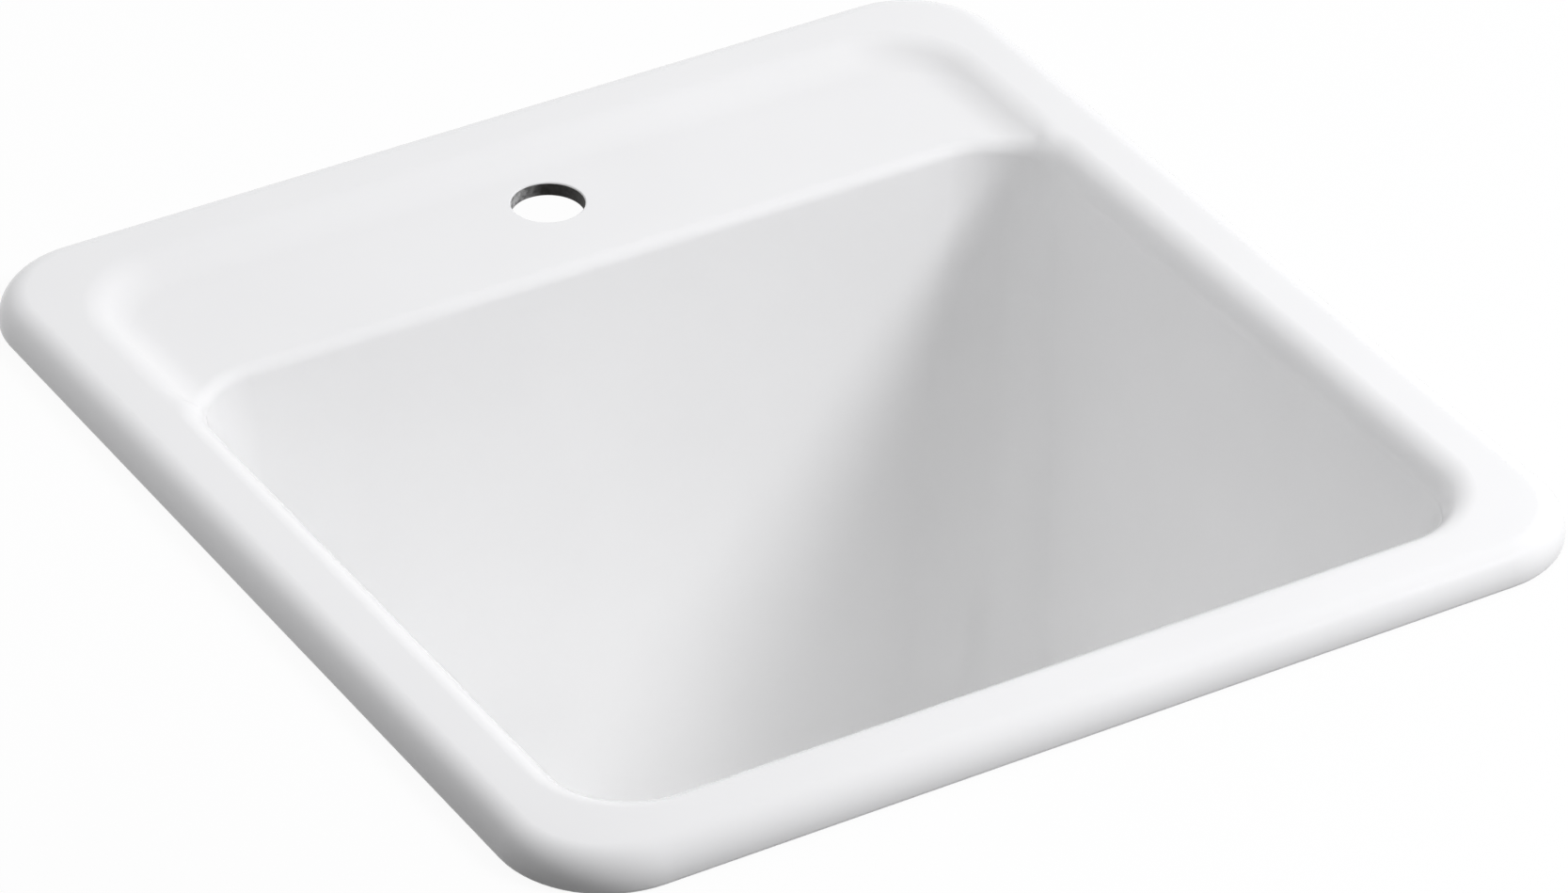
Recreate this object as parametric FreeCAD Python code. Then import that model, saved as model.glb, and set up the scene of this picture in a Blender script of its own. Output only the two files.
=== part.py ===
import FreeCAD, Part

import os
from math import acos, cos, degrees, pi, radians, sin, sqrt, tan

# Drop-in laundry sink: an enamelled iron casting with a basket strainer in its drain.
# The origin is the middle of the rim on the counter's surface, +Y runs to the faucet deck, +Z is up.
# All lengths are in millimetres.

# Rim
rim_width = 533.4
rim_depth = 558.8
rim_height = 17.0
rim_corner = 51.5
rim_roll = 14.0
lip_round = 2.5
seat_land = 12.0
iron_wall = 6.5

# Opening and faucet deck
ledge_width = 43.5
opening_corner = 36.0
opening_roll = 15.0
deck_drop = 7.0
deck_shoulder = 26.0
deck_cove = 34.0
deck_reach = 134.9
deck_edge_round = 8.0
faucet_bore = 35.0
faucet_bore_round = 1.0
faucet_setback = 79.0

# Bowl
overall_height = 346.0
bowl_draft = 5.0
bowl_floor_corner = 50.0
bowl_floor_round = 35.0
floor_fall = 6.0
floor_dish_radius = 125.0

# Drain opening in the casting
drain_bore = 90.0
drain_recess = 118.0
drain_recess_depth = 3.5
drain_boss = 134.0
drain_floor_wall = 9.0

# Strainer body
flange_diameter = 114.3
flange_thickness = 2.5
putty_thickness = 1.0
basket_ledge_width = 4.0
basket_ledge_depth = 1.6
cup_diameter = 84.0
cup_wall = 1.8
cup_depth = 58.0
neck_diameter = 47.0
neck_bore = 41.0
neck_length = 24.0
cup_hole = 9.0
cup_hole_circle = 30.0
cup_hole_count = 8
post_hole = 8.0

# Clamping stack under the drain boss
gasket_diameter = 116.0
gasket_thickness = 4.0
friction_diameter = 112.0
friction_thickness = 1.0
locknut_diameter = 104.0
locknut_thickness = 11.0
locknut_lug_reach = 6.0
locknut_lug_width = 14.0
locknut_lug_count = 6
thread_gap = 0.1

# Tailpiece and coupling nut
tail_diameter = 38.1
tail_wall = 1.2
tail_length = 102.0
tail_flange = 45.0
tail_flange_thickness = 1.6
tail_flange_round = 1.0
tail_washer_thickness = 2.0
coupling_diameter = 58.0
coupling_grip = 15.0
coupling_lip = 5.0
coupling_gap = 1.3
coupling_flat_count = 8

# Basket
basket_wall = 1.0
basket_rim_gap = 0.5
basket_clear = 2.2
basket_depth = 38.0
basket_taper = 3.0
basket_corner = 6.0
basket_hole = 6.0
basket_floor_rings = 2
basket_floor_pitch = 10.0
basket_side_rings = 2
basket_side_count = 12
basket_side_pitch = 10.0

# Stem, knob and stopper
stem_diameter = 6.0
stem_gap = 0.05
stem_tip = 5.0
bush_diameter = 13.0
bush_flange = 18.0
bush_flange_thickness = 1.5
bush_drop = 3.0
knob_diameter = 22.0
knob_waist = 10.0
knob_height = 16.0
knob_rise = 3.0
stopper_diameter = 52.0
stopper_thickness = 5.0
stopper_lip = 1.5
washer_diameter = 26.0
washer_thickness = 1.2
nut_across_flats = 11.0
nut_thickness = 3.0

# Places worked out from the driving dimensions
thread_bore = cup_diameter + 2 * thread_gap
coupling_bore = neck_diameter + 2 * thread_gap

rim_half_width = rim_width / 2
rim_front = -rim_depth / 2
rim_back = rim_depth / 2
bowl_half_width = rim_half_width - ledge_width
bowl_front = rim_front + ledge_width
tray_back = rim_back - ledge_width
bowl_back = rim_back - deck_reach
deck_level = rim_height - deck_drop
slope_radii = deck_shoulder + deck_cove
deck_slope = sqrt(slope_radii ** 2 - (slope_radii - deck_drop) ** 2)
crease_level = rim_height - opening_roll
faucet_y = rim_back - faucet_setback
boss_bottom = rim_height - overall_height
recess_bottom = boss_bottom + drain_floor_wall
dish_bottom = recess_bottom + drain_recess_depth
floor_level = dish_bottom + floor_fall
drain_y = (bowl_front + bowl_back) / 2

flange_bottom = recess_bottom + putty_thickness
flange_top = flange_bottom + flange_thickness
cup_outer = cup_diameter / 2
cup_inner = cup_outer - cup_wall
ledge_radius = cup_inner + basket_ledge_width
ledge_level = flange_top - basket_ledge_depth
cup_floor = flange_top - cup_depth
neck_end = cup_floor - cup_wall - neck_length
washer_end = neck_end - tail_washer_thickness

basket_outer = cup_inner - basket_clear
basket_bottom = ledge_level + basket_wall - basket_depth
stopper_top = cup_floor + stopper_thickness
stem_radius = stem_diameter / 2


def point(x, y, z):
    return FreeCAD.Vector(x, y, z)


def rounded_outline(half_width, front, back, corner, z):
    """Closed outline of a rectangle with round corners, symmetric left to right."""
    reach = half_width - corner
    corners = [
        (reach, front + corner, -pi / 2),
        (reach, back - corner, 0.0),
        (-reach, back - corner, pi / 2),
        (-reach, front + corner, pi),
    ]
    arcs = []
    for x, y, start in corners:
        ends = [
            point(x + corner * cos(start + turn), y + corner * sin(start + turn), z)
            for turn in (0.0, pi / 4, pi / 2)
        ]
        arcs.append(ends)
    edges = []
    for index, (first, middle, last) in enumerate(arcs):
        edges.append(Part.Arc(first, middle, last).toShape())
        following = arcs[(index + 1) % len(arcs)][0]
        edges.append(Part.LineSegment(last, following).toShape())
    return Part.Wire(edges)


def rounded_block(half_width, front, back, corner, bottom, top):
    """Upright block with round corners."""
    face = Part.Face(rounded_outline(half_width, front, back, corner, bottom))
    return face.extrude(point(0, 0, top - bottom))


def level_edges(shape, z, half_width, front, back):
    """Edges that lie flat at height z inside the given plan rectangle."""
    found = []
    slack = 1e-3
    for edge in shape.Edges:
        box = edge.BoundBox
        flat = abs(box.ZMin - z) < slack and abs(box.ZMax - z) < slack
        wide = max(abs(box.XMin), abs(box.XMax)) < half_width + slack
        deep = box.YMin > front - slack and box.YMax < back + slack
        if flat and wide and deep:
            found.append(edge)
    return found


def rim_frame():
    """Rolled rim with a hollow underside, a seating land round its edge and a square-edged opening."""
    frame = rounded_block(rim_half_width, rim_front, rim_back, rim_corner, 0, rim_height)
    frame = frame.makeFillet(rim_roll, level_edges(frame, rim_height, rim_half_width, rim_front, rim_back))
    frame = frame.makeFillet(lip_round, level_edges(frame, 0, rim_half_width, rim_front, rim_back))

    channel = rounded_block(
        rim_half_width - seat_land, rim_front + seat_land, rim_back - seat_land,
        rim_corner - seat_land, -iron_wall, rim_height - iron_wall,
    )
    skirt = rounded_block(
        bowl_half_width + iron_wall, bowl_front - iron_wall, tray_back + iron_wall,
        opening_corner + iron_wall, -iron_wall, rim_height,
    )
    opening = rounded_block(
        bowl_half_width, bowl_front, tray_back, opening_corner, -iron_wall, 2 * rim_height,
    )
    return frame.cut(channel.cut(skirt)).cut(opening)


def rolled_opening(frame):
    """The frame with its opening's edge rolled over into the bowl."""
    edge = level_edges(frame, rim_height, bowl_half_width, bowl_front, tray_back)
    return frame.makeFillet(opening_roll, edge)


def recessed_deck(frame):
    """The frame closed by a deck that lies below the rim's top, at the foot of a soft double curve."""
    bedding = iron_wall / 2
    plate = rounded_block(
        bowl_half_width + bedding, bowl_front - bedding, tray_back + bedding,
        opening_corner + bedding, deck_level - iron_wall, rim_height,
    )
    deck = frame.fuse(plate).removeSplitter()
    spread = opening_roll + deck_cove - deck_slope
    half, front, back = bowl_half_width + spread, bowl_front - spread, tray_back + spread
    above_rim = deck_level + 2 * deck_cove
    hollow = rounded_block(half, front, back, opening_corner + spread, deck_level, above_rim)
    hollow = hollow.makeFillet(deck_cove, level_edges(hollow, deck_level, half, front, back))
    deck = deck.cut(hollow)
    return deck.makeFillet(deck_shoulder, level_edges(deck, rim_height, half, front, back))


def tapered_bowl(skin, top, bottom):
    """Bowl-shaped solid whose walls lean in by the draft; skin moves every wall out."""
    lean = (top - bottom) * tan(radians(bowl_draft))
    upper = rounded_outline(
        bowl_half_width + skin, bowl_front - skin, bowl_back + skin, opening_corner + skin, top,
    )
    lower = rounded_outline(
        bowl_half_width + skin - lean, bowl_front - skin + lean, bowl_back + skin - lean,
        bowl_floor_corner + skin, bottom,
    )
    bowl = Part.makeLoft([upper, lower], True, True)
    rim = bowl_half_width + skin
    return bowl.makeFillet(
        bowl_floor_round + skin, level_edges(bowl, bottom, rim, bowl_front - skin, bowl_back + skin),
    )


def drain_disc(diameter, bottom, top):
    return Part.makeCylinder(diameter / 2, top - bottom, point(0, drain_y, bottom))


def dish(skin, bottom, top):
    """Shallow cone in the floor that leads to the drain."""
    return Part.makeCone(
        drain_recess / 2 + skin, floor_dish_radius + skin, top - bottom, point(0, drain_y, bottom),
    )


def roll_above_bowl(frame):
    """The space over the bowl's own three sides, out to the opening's roll."""
    reach = bowl_half_width + opening_roll
    front = bowl_front - opening_roll
    fade_start = bowl_back - opening_corner
    fade_end = fade_start + 2 * opening_roll
    corners = [
        (-reach, front), (reach, front), (reach, fade_end), (bowl_half_width, fade_start),
        (-bowl_half_width, fade_start), (-reach, fade_end),
    ]
    base = [point(x, y, crease_level) for x, y in corners]
    face = Part.Face(Part.makePolygon(base + base[:1]))
    return face.extrude(point(0, 0, opening_roll)).cut(frame)


def deck_edge_scrap():
    """What the round on the deck's front edge takes away: a straight run and part of each corner."""
    r = deck_edge_round
    y, z = bowl_back, deck_level
    centre = (y + r, z - r)
    arc = Part.Arc(
        point(0, y, z - r),
        point(0, centre[0] - r * sqrt(0.5), centre[1] + r * sqrt(0.5)),
        point(0, y + r, z),
    ).toShape()
    corner = point(0, y, z)
    face = Part.Face(Part.Wire([
        arc,
        Part.LineSegment(point(0, y + r, z), corner).toShape(),
        Part.LineSegment(corner, point(0, y, z - r)).toShape(),
    ]))
    straight = bowl_half_width - opening_corner
    flat_end = opening_corner + opening_roll - deck_slope
    turn = 90 - degrees(acos(flat_end / opening_corner))
    scrap = face.translated(point(-straight, 0, 0)).extrude(point(2 * straight, 0, 0))
    for side in (1, -1):
        axis = point(side * straight, bowl_back - opening_corner, 0)
        section = face.translated(point(side * straight, 0, 0))
        scrap = scrap.fuse(section.revolve(axis, point(0, 0, -side), turn))
    return scrap


def sink_casting():
    frame = rim_frame()
    casting = recessed_deck(frame)
    casting = casting.fuse(tapered_bowl(iron_wall, 0, floor_level - iron_wall))
    neck = rounded_block(
        bowl_half_width + iron_wall, bowl_front - iron_wall, bowl_back + iron_wall,
        opening_corner + iron_wall, 0, crease_level,
    )
    casting = casting.fuse(neck)
    casting = casting.fuse(dish(iron_wall, dish_bottom - iron_wall, floor_level - iron_wall))
    casting = casting.fuse(drain_disc(drain_boss, boss_bottom, floor_level - iron_wall))

    casting = casting.cut(tapered_bowl(0, crease_level, floor_level))
    mouth = rounded_block(
        bowl_half_width, bowl_front, bowl_back, opening_corner, crease_level, 2 * rim_height,
    )
    casting = casting.cut(mouth).cut(roll_above_bowl(rolled_opening(frame))).cut(deck_edge_scrap())
    casting = casting.cut(dish(0, dish_bottom, floor_level))
    casting = casting.cut(drain_disc(drain_recess, recess_bottom, floor_level))
    casting = casting.cut(drain_disc(drain_bore, boss_bottom, floor_level))

    faucet_radius = faucet_bore / 2
    casting = casting.cut(
        Part.makeCylinder(faucet_radius, rim_height, point(0, faucet_y, deck_level - iron_wall)),
    )
    hole_front = faucet_y - faucet_radius
    hole_back = faucet_y + faucet_radius
    hole_edge = level_edges(casting, deck_level, faucet_radius, hole_front, hole_back)
    return casting.makeFillet(faucet_bore_round, hole_edge).removeSplitter()


def turned(points):
    """Solid turned about the drain's upright axis from (radius, height) corners."""
    corners = [point(radius, drain_y, z) for radius, z in points]
    face = Part.Face(Part.makePolygon(corners + corners[:1]))
    return face.revolve(point(0, drain_y, 0), point(0, 0, 1), 360)


def ring(outer_diameter, inner_diameter, bottom, top):
    outer = outer_diameter / 2
    inner = inner_diameter / 2
    return turned([(inner, bottom), (outer, bottom), (outer, top), (inner, top)])


def softened(solid, radius, rims):
    """Rounds the circular edges that pass through the given (radius, height) places."""
    slack = 1e-3
    chosen = []
    for edge in solid.Edges:
        box = edge.BoundBox
        for rim_radius, z in rims:
            flat = abs(box.ZMin - z) < slack and abs(box.ZMax - z) < slack
            if flat and abs(box.XMax - rim_radius) < slack and abs(box.XMin + rim_radius) < slack:
                chosen.append(edge)
    return solid.makeFillet(radius, chosen)


def around(count, piece, start=0.0):
    """Copies of a piece spaced evenly round the drain's axis."""
    copies = []
    for index in range(count):
        copy = piece.copy()
        copy.rotate(point(0, drain_y, 0), point(0, 0, 1), start + 360 * index / count)
        copies.append(copy)
    return copies


def putty_bed():
    return ring(flange_diameter, drain_bore, recess_bottom, flange_bottom)


def strainer_body():
    flange = flange_diameter / 2
    neck = neck_diameter / 2
    below_floor = cup_floor - cup_wall
    body = turned([
        (0, below_floor), (neck_bore / 2, below_floor), (neck_bore / 2, neck_end), (neck, neck_end),
        (neck, below_floor), (cup_outer, below_floor), (cup_outer, flange_bottom), (flange, flange_bottom),
        (flange, flange_top), (ledge_radius, flange_top), (ledge_radius, ledge_level),
        (cup_inner, ledge_level), (cup_inner, cup_floor), (0, cup_floor),
    ])
    body = softened(body, flange_thickness / 2, [(flange, flange_top)])
    body = softened(body, 3 * cup_wall, [(cup_outer, below_floor)])
    body = softened(body, 2 * cup_wall, [(cup_inner, cup_floor)])
    hole = Part.makeCylinder(
        cup_hole / 2, 2 * cup_wall, point(cup_hole_circle / 2, drain_y, cup_floor - 1.5 * cup_wall),
    )
    for copy in around(cup_hole_count, hole):
        body = body.cut(copy)
    return body.cut(drain_disc(post_hole, cup_floor - 1.5 * cup_wall, cup_floor + cup_wall))


def body_gasket():
    return ring(gasket_diameter, thread_bore, boss_bottom - gasket_thickness, boss_bottom)


def friction_ring():
    top = boss_bottom - gasket_thickness
    return ring(friction_diameter, thread_bore, top - friction_thickness, top)


def locknut():
    """Threaded ring with lugs for a spanner."""
    top = boss_bottom - gasket_thickness - friction_thickness
    bottom = top - locknut_thickness
    radius = locknut_diameter / 2
    nut = ring(locknut_diameter, thread_bore, bottom, top)
    root = radius - locknut_lug_reach
    lug = Part.makeBox(
        2 * locknut_lug_reach, locknut_lug_width, locknut_thickness,
        point(root, drain_y - locknut_lug_width / 2, bottom),
    )
    upright = [edge for edge in lug.Edges if edge.BoundBox.ZLength > locknut_thickness / 2]
    tips = [edge for edge in upright if edge.BoundBox.XMin > radius]
    lug = lug.makeFillet(locknut_lug_reach / 2, tips)
    for copy in around(locknut_lug_count, lug):
        nut = nut.fuse(copy)
    return nut.cut(drain_disc(thread_bore, bottom, top)).removeSplitter()


def tailpiece_washer():
    return ring(tail_flange, tail_diameter - 2 * tail_wall, washer_end, neck_end)


def tailpiece():
    outer = tail_diameter / 2
    inner = outer - tail_wall
    flange_end = washer_end - tail_flange_thickness
    tube = turned([
        (inner, washer_end), (tail_flange / 2, washer_end), (tail_flange / 2, flange_end),
        (outer, flange_end), (outer, washer_end - tail_length), (inner, washer_end - tail_length),
    ])
    return softened(tube, tail_flange_round, [(outer, flange_end)])


def coupling_nut():
    """Nut with grip flats whose inner lip pulls the tailpiece's flange up to the neck."""
    lip_top = washer_end - tail_flange_thickness
    bottom = lip_top - coupling_lip
    top = neck_end + coupling_grip
    passage = tail_diameter + 2 * coupling_gap
    nut = Part.makeCylinder(coupling_diameter / 2, top - bottom, point(0, drain_y, bottom))
    nut = softened(nut, coupling_lip / 2, [(coupling_diameter / 2, bottom)])
    nut = nut.cut(drain_disc(coupling_bore, lip_top, top)).cut(drain_disc(passage, bottom, lip_top))
    flat_depth = (coupling_diameter - coupling_bore) / 8
    flat = Part.makeBox(
        2 * flat_depth, coupling_diameter / 4, top - bottom,
        point(coupling_diameter / 2 - flat_depth, drain_y - coupling_diameter / 8, bottom + coupling_lip),
    )
    for copy in around(coupling_flat_count, flat):
        nut = nut.cut(copy)
    return nut


def basket_cup():
    """Pressed cup that hangs by its rim from the strainer's ledge, drilled in its floor and its side."""
    rim = ledge_radius - basket_rim_gap
    foot = basket_outer - basket_taper
    rim_top = ledge_level + basket_wall
    cup = turned([
        (bush_diameter / 2, basket_bottom), (foot, basket_bottom), (basket_outer, ledge_level),
        (rim, ledge_level), (rim, rim_top), (basket_outer - basket_wall, rim_top),
        (foot - basket_wall, basket_bottom + basket_wall), (bush_diameter / 2, basket_bottom + basket_wall),
    ])
    cup = softened(cup, basket_corner, [(foot, basket_bottom)])
    cup = softened(cup, basket_corner - basket_wall, [(foot - basket_wall, basket_bottom + basket_wall)])

    hole_radius = basket_hole / 2
    first_ring = bush_flange / 2 + basket_hole
    for row in range(basket_floor_rings):
        circle = first_ring + row * basket_floor_pitch
        hole = Part.makeCylinder(
            hole_radius, 3 * basket_wall, point(circle, drain_y, basket_bottom - basket_wall),
        )
        for copy in around(int(2 * pi * circle / basket_floor_pitch), hole):
            cup = cup.cut(copy)

    lowest = basket_bottom + basket_corner + basket_side_pitch
    step = 360 / basket_side_count
    for row in range(basket_side_rings):
        middle = point(0, drain_y, lowest + row * basket_side_pitch)
        drill = Part.makeCylinder(hole_radius, 2 * basket_outer, middle, point(1, 0, 0))
        for copy in around(basket_side_count, drill, (row % 2) * step / 2):
            cup = cup.cut(copy)
    return cup


def hub_bush():
    """Flanged bush pressed into the basket's floor."""
    bore = stem_radius + stem_gap
    shank = bush_diameter / 2
    collar = bush_flange / 2
    seat = basket_bottom + basket_wall
    return turned([
        (bore, basket_bottom - bush_drop), (shank, basket_bottom - bush_drop), (shank, seat), (collar, seat),
        (collar, seat + bush_flange_thickness), (bore, seat + bush_flange_thickness),
    ])


def stem_post():
    bottom = cup_floor - stem_tip
    top = basket_bottom + basket_wall + bush_flange_thickness + knob_rise + knob_height / 2
    return Part.makeCylinder(stem_radius, top - bottom, point(0, drain_y, bottom))


def stem_knob():
    """Waisted finger knob with a domed top, bored for the rod."""
    bottom = basket_bottom + basket_wall + bush_flange_thickness + knob_rise
    top = bottom + knob_height
    rod_end = bottom + knob_height / 2
    waist = knob_waist / 2
    head = knob_diameter / 2
    knob = turned([
        (stem_radius, bottom), (waist, bottom), (waist, bottom + knob_height / 4),
        (head, bottom + knob_height * 5 / 8), (head, bottom + knob_height * 3 / 4),
        (head * 3 / 4, top), (0, top), (0, rod_end), (stem_radius, rod_end),
    ])
    return softened(knob, knob_height / 8, [(head, bottom + knob_height * 3 / 4), (head * 3 / 4, top)])


def stopper_disc():
    """Soft disc with a thin sealing edge; it rests on the cup's floor when the drain is shut."""
    radius = stopper_diameter / 2
    shoulder = radius - 2 * stopper_thickness
    return turned([
        (stem_radius, cup_floor), (radius, cup_floor), (radius, cup_floor + stopper_lip),
        (shoulder, stopper_top), (stem_radius, stopper_top),
    ])


def stopper_washer():
    return ring(washer_diameter, stem_diameter, stopper_top, stopper_top + washer_thickness)


def stopper_nut():
    """Six-sided nut on the rod, over the washer."""
    bottom = stopper_top + washer_thickness
    radius = nut_across_flats / 2 / cos(pi / 6)
    corners = [
        point(radius * cos(index * pi / 3), drain_y + radius * sin(index * pi / 3), bottom)
        for index in range(7)
    ]
    nut = Part.Face(Part.makePolygon(corners)).extrude(point(0, 0, nut_thickness))
    return nut.cut(drain_disc(stem_diameter, bottom, bottom + nut_thickness))


pieces = [
    sink_casting, putty_bed, strainer_body, body_gasket, friction_ring, locknut, tailpiece_washer,
    coupling_nut, tailpiece, basket_cup, hub_bush, stem_post, stem_knob, stopper_disc, stopper_washer,
    stopper_nut,
]

os.makedirs("parts", exist_ok=True)
for make in pieces:
    shape = make()
    solids = shape.Solids
    if len(solids) != 1 or not shape.isValid():
        raise RuntimeError(f"{make.__name__}: {len(solids)} solids, valid {shape.isValid()}")
    solids[0].exportStep(f"parts/{make.__name__}.step")
    print(f"{make.__name__}: {solids[0].Volume / 1000:.2f} cm3")
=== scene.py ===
from math import cos, exp, hypot, pi, radians, sin, sqrt, tan

import bpy
from mathutils import Matrix, Vector


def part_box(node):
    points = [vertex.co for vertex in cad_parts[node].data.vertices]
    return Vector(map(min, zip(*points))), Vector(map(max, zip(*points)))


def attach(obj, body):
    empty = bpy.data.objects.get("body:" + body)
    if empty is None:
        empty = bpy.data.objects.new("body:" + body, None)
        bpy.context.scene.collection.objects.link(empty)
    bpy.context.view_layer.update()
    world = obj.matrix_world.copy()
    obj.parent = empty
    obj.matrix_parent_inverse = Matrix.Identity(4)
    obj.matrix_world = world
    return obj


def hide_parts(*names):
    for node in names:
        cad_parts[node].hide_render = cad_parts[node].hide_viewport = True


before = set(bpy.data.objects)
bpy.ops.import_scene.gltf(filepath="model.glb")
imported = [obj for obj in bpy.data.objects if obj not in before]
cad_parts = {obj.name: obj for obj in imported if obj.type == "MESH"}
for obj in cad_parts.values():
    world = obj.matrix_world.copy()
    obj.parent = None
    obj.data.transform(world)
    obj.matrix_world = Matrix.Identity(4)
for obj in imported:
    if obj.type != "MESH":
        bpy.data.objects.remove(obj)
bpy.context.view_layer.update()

bl_info = {
    "name": "Enamelled laundry sink",
    "version": (1, 0, 0),
    "blender": (4, 5, 0),
    "location": "View3D > Sidebar > Laundry sink",
    "description": "Builds a drop-in laundry sink with its basket strainer on the packed model",
    "category": "Add Mesh",
}

CASTING_LOW, CASTING_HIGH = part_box("sink_casting")
BODY_LOW, BODY_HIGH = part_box("strainer_body")
BASKET_LOW, BASKET_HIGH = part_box("basket_cup")
DRAIN_Y = (BODY_LOW.y + BODY_HIGH.y) / 2
UP = Vector((0, 0, 1))

# In metres: places closer than the first count as the same, points closer than the second are merged,
# and edges shorter than the third are removed.
NEAR, MERGE, SLIVER = 1e-5, 1e-6, 1e-7

# Steps round a turned piece, a drill and one turn of a thread, and along a rounded corner.
TURN_STEPS, DRILL_STEPS, THREAD_STEPS, CORNER_STEPS = 96, 24, 72, 5

# The casting's mesh: steps along the five stretches of its outline, and the straight share of the fourth.
STRETCH_STEPS = (9, 16, 16, 34, 12)
STRAIGHT_SHARE = 0.55

# Steps across the casting's section.
LIP_STEPS, ROLL_STEPS, TOP_STEPS = 4, 12, 4
SLOPE_STEPS, FLAT_STEPS, BRINK_STEPS = 16, 6, 10
WALL_STEPS, FLOOR_ROUND_STEPS = 9, 9
OUTER_ROUND_STEPS, OUTER_WALL_STEPS, UNDER_DECK_STEPS = 8, 9, 6

# Where the rows of that section lie: in metres, or as shares of the apron or of the hollow under the rim.
SLOPE_RUN, SLOPE_SHARE = 0.032, 0.6
BRINK_RUN, BRINK_SHARE = 0.009, 0.3
WALL_DEPTHS = (0.0008, 0.003, 0.006, 0.01, 0.015, 0.022, 0.032, 0.046)
DISH_RADII = (0.11, 0.094, 0.08, 0.068)
UNDER_RADII = (0.08, 0.1)
CHANNEL_SHARES = (0.1, 0.5, 0.9)
ROW_GAP = 0.001

# Small forms of the casting, in metres; from the first width on, the apron has the deck's full drop.
FULL_DECK_APRON = 0.034
RECESS_EDGE, RECESS_FOOT, RECESS_FOOT_RISE = 0.0006, 0.0005, 0.0002
BORE_ROUND, BORE_FOOT, BOSS_ROUND, BOSS_FILLET = 0.0008, 0.0005, 0.0015, 0.0004
UNDER_ROLL, UNDER_DECK_RISE = 0.0005, 0.001
CHANNEL_ROUND, SEAT_ROUND, LIP_LAND = 0.003, 0.001, 0.0005

# Small forms of the strainer, in metres or as shares of its thread, and the spacing of lugs and holes.
THREAD_GAP, THREAD_START, THREAD_END = 0.0001, 0.005, 0.002
THREAD_ROOT_SHARE, THREAD_FLANK_SHARE = 0.2, 0.42
POST_HOLE = 0.004
PUTTY_SQUEEZE, PUTTY_PLAY, PUTTY_RISE, PUTTY_GAP = 0.0015, 0.0002, 0.0006, 0.0001
PUTTY_RIPPLE, RIPPLE_ACROSS, RIPPLE_ALONG = 0.00015, 0.0011, 0.0014
GASKET_BULGE = 0.0008
LUG_COUNT, LUG_REACH, LUG_HALF_ANGLE = 6, 0.006, radians(7.6)
GRIP_COUNT, GRIP_START, GRIP_HALF_ANGLE = 8, 0.005, radians(9.4)
GRIP_MARGIN, GRIP_DEPTH = 0.0008, 0.0013
TAIL_FLANGE, TAIL_GAP = 0.0016, 0.0013
CUP_HOLES = 8
BASKET_FLOOR_RINGS = ((0.015, 9), (0.025, 15))
BASKET_SIDE_LEVELS, BASKET_SIDE_HOLES, BASKET_SIDE_REACH = (0.016, 0.026), 12, 0.001
SIDE_DRILL, NUT_DRILL = 0.012, 0.01
BUSH_BORE, BUSH_COLLAR, BUSH_COLLAR_HEIGHT = 0.00305, 0.0025, 0.0015
KNOB_NECK, DISC_EDGE = 0.005, 0.0015

# Faces that become lugs and grips: their least share of the radius, and the most that a normal rises.
LUG_FACE_SHARE, GRIP_FACE_SHARE, UPRIGHT_FACE = 0.99, 0.985, 0.1

# The stage: lamps, the side from which the world shines most, pale surfaces, the flag and the camera.
KEY_DIRECTION, KEY_DISTANCE = Vector((0.57, -0.47, 0.67)).normalized(), 2.8
FILL_HEIGHT, FILL_SPREAD = 0.5, radians(38)
BRIGHT_SIDE, DIM_AT, BRIGHT_AT = (0.8, 0.6, 0), -0.8, 0.25
STAGE_BOUNCE, STAGE_WHITE, STAGE_GLOW = 0.27, 0.95, 0.93
FLAG_PLACE, FLAG_SCALE = (-0.375, -0.31, 0.1), (0.4, 0.2, 1)
FLAG_TURN = (radians(90), 0, radians(-45))
CAMERA_TARGET, CAMERA_DISTANCE = Vector((-0.00317, -0.01989, 0)), 3.77526
CAMERA_AZIMUTH, CAMERA_ELEVATION, CAMERA_ROLL = radians(-31.07), radians(33.57), radians(0.33)
SENSOR_WIDTH, CLIP_END = 36, 60


def number(name, description, default, **kind):
    """A value that a user can change."""
    return bpy.props.FloatProperty(name=name, description=description, default=default, **kind)


def length(name, description, default):
    """A size in metres that a user can change."""
    return number(name, description, default, precision=4, unit="LENGTH", subtype="DISTANCE")


def colour(name, description, default):
    """A linear colour that a user can change."""
    return bpy.props.FloatVectorProperty(
        name=name, description=description, default=default, size=3, min=0, max=1, subtype="COLOR",
    )


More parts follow.
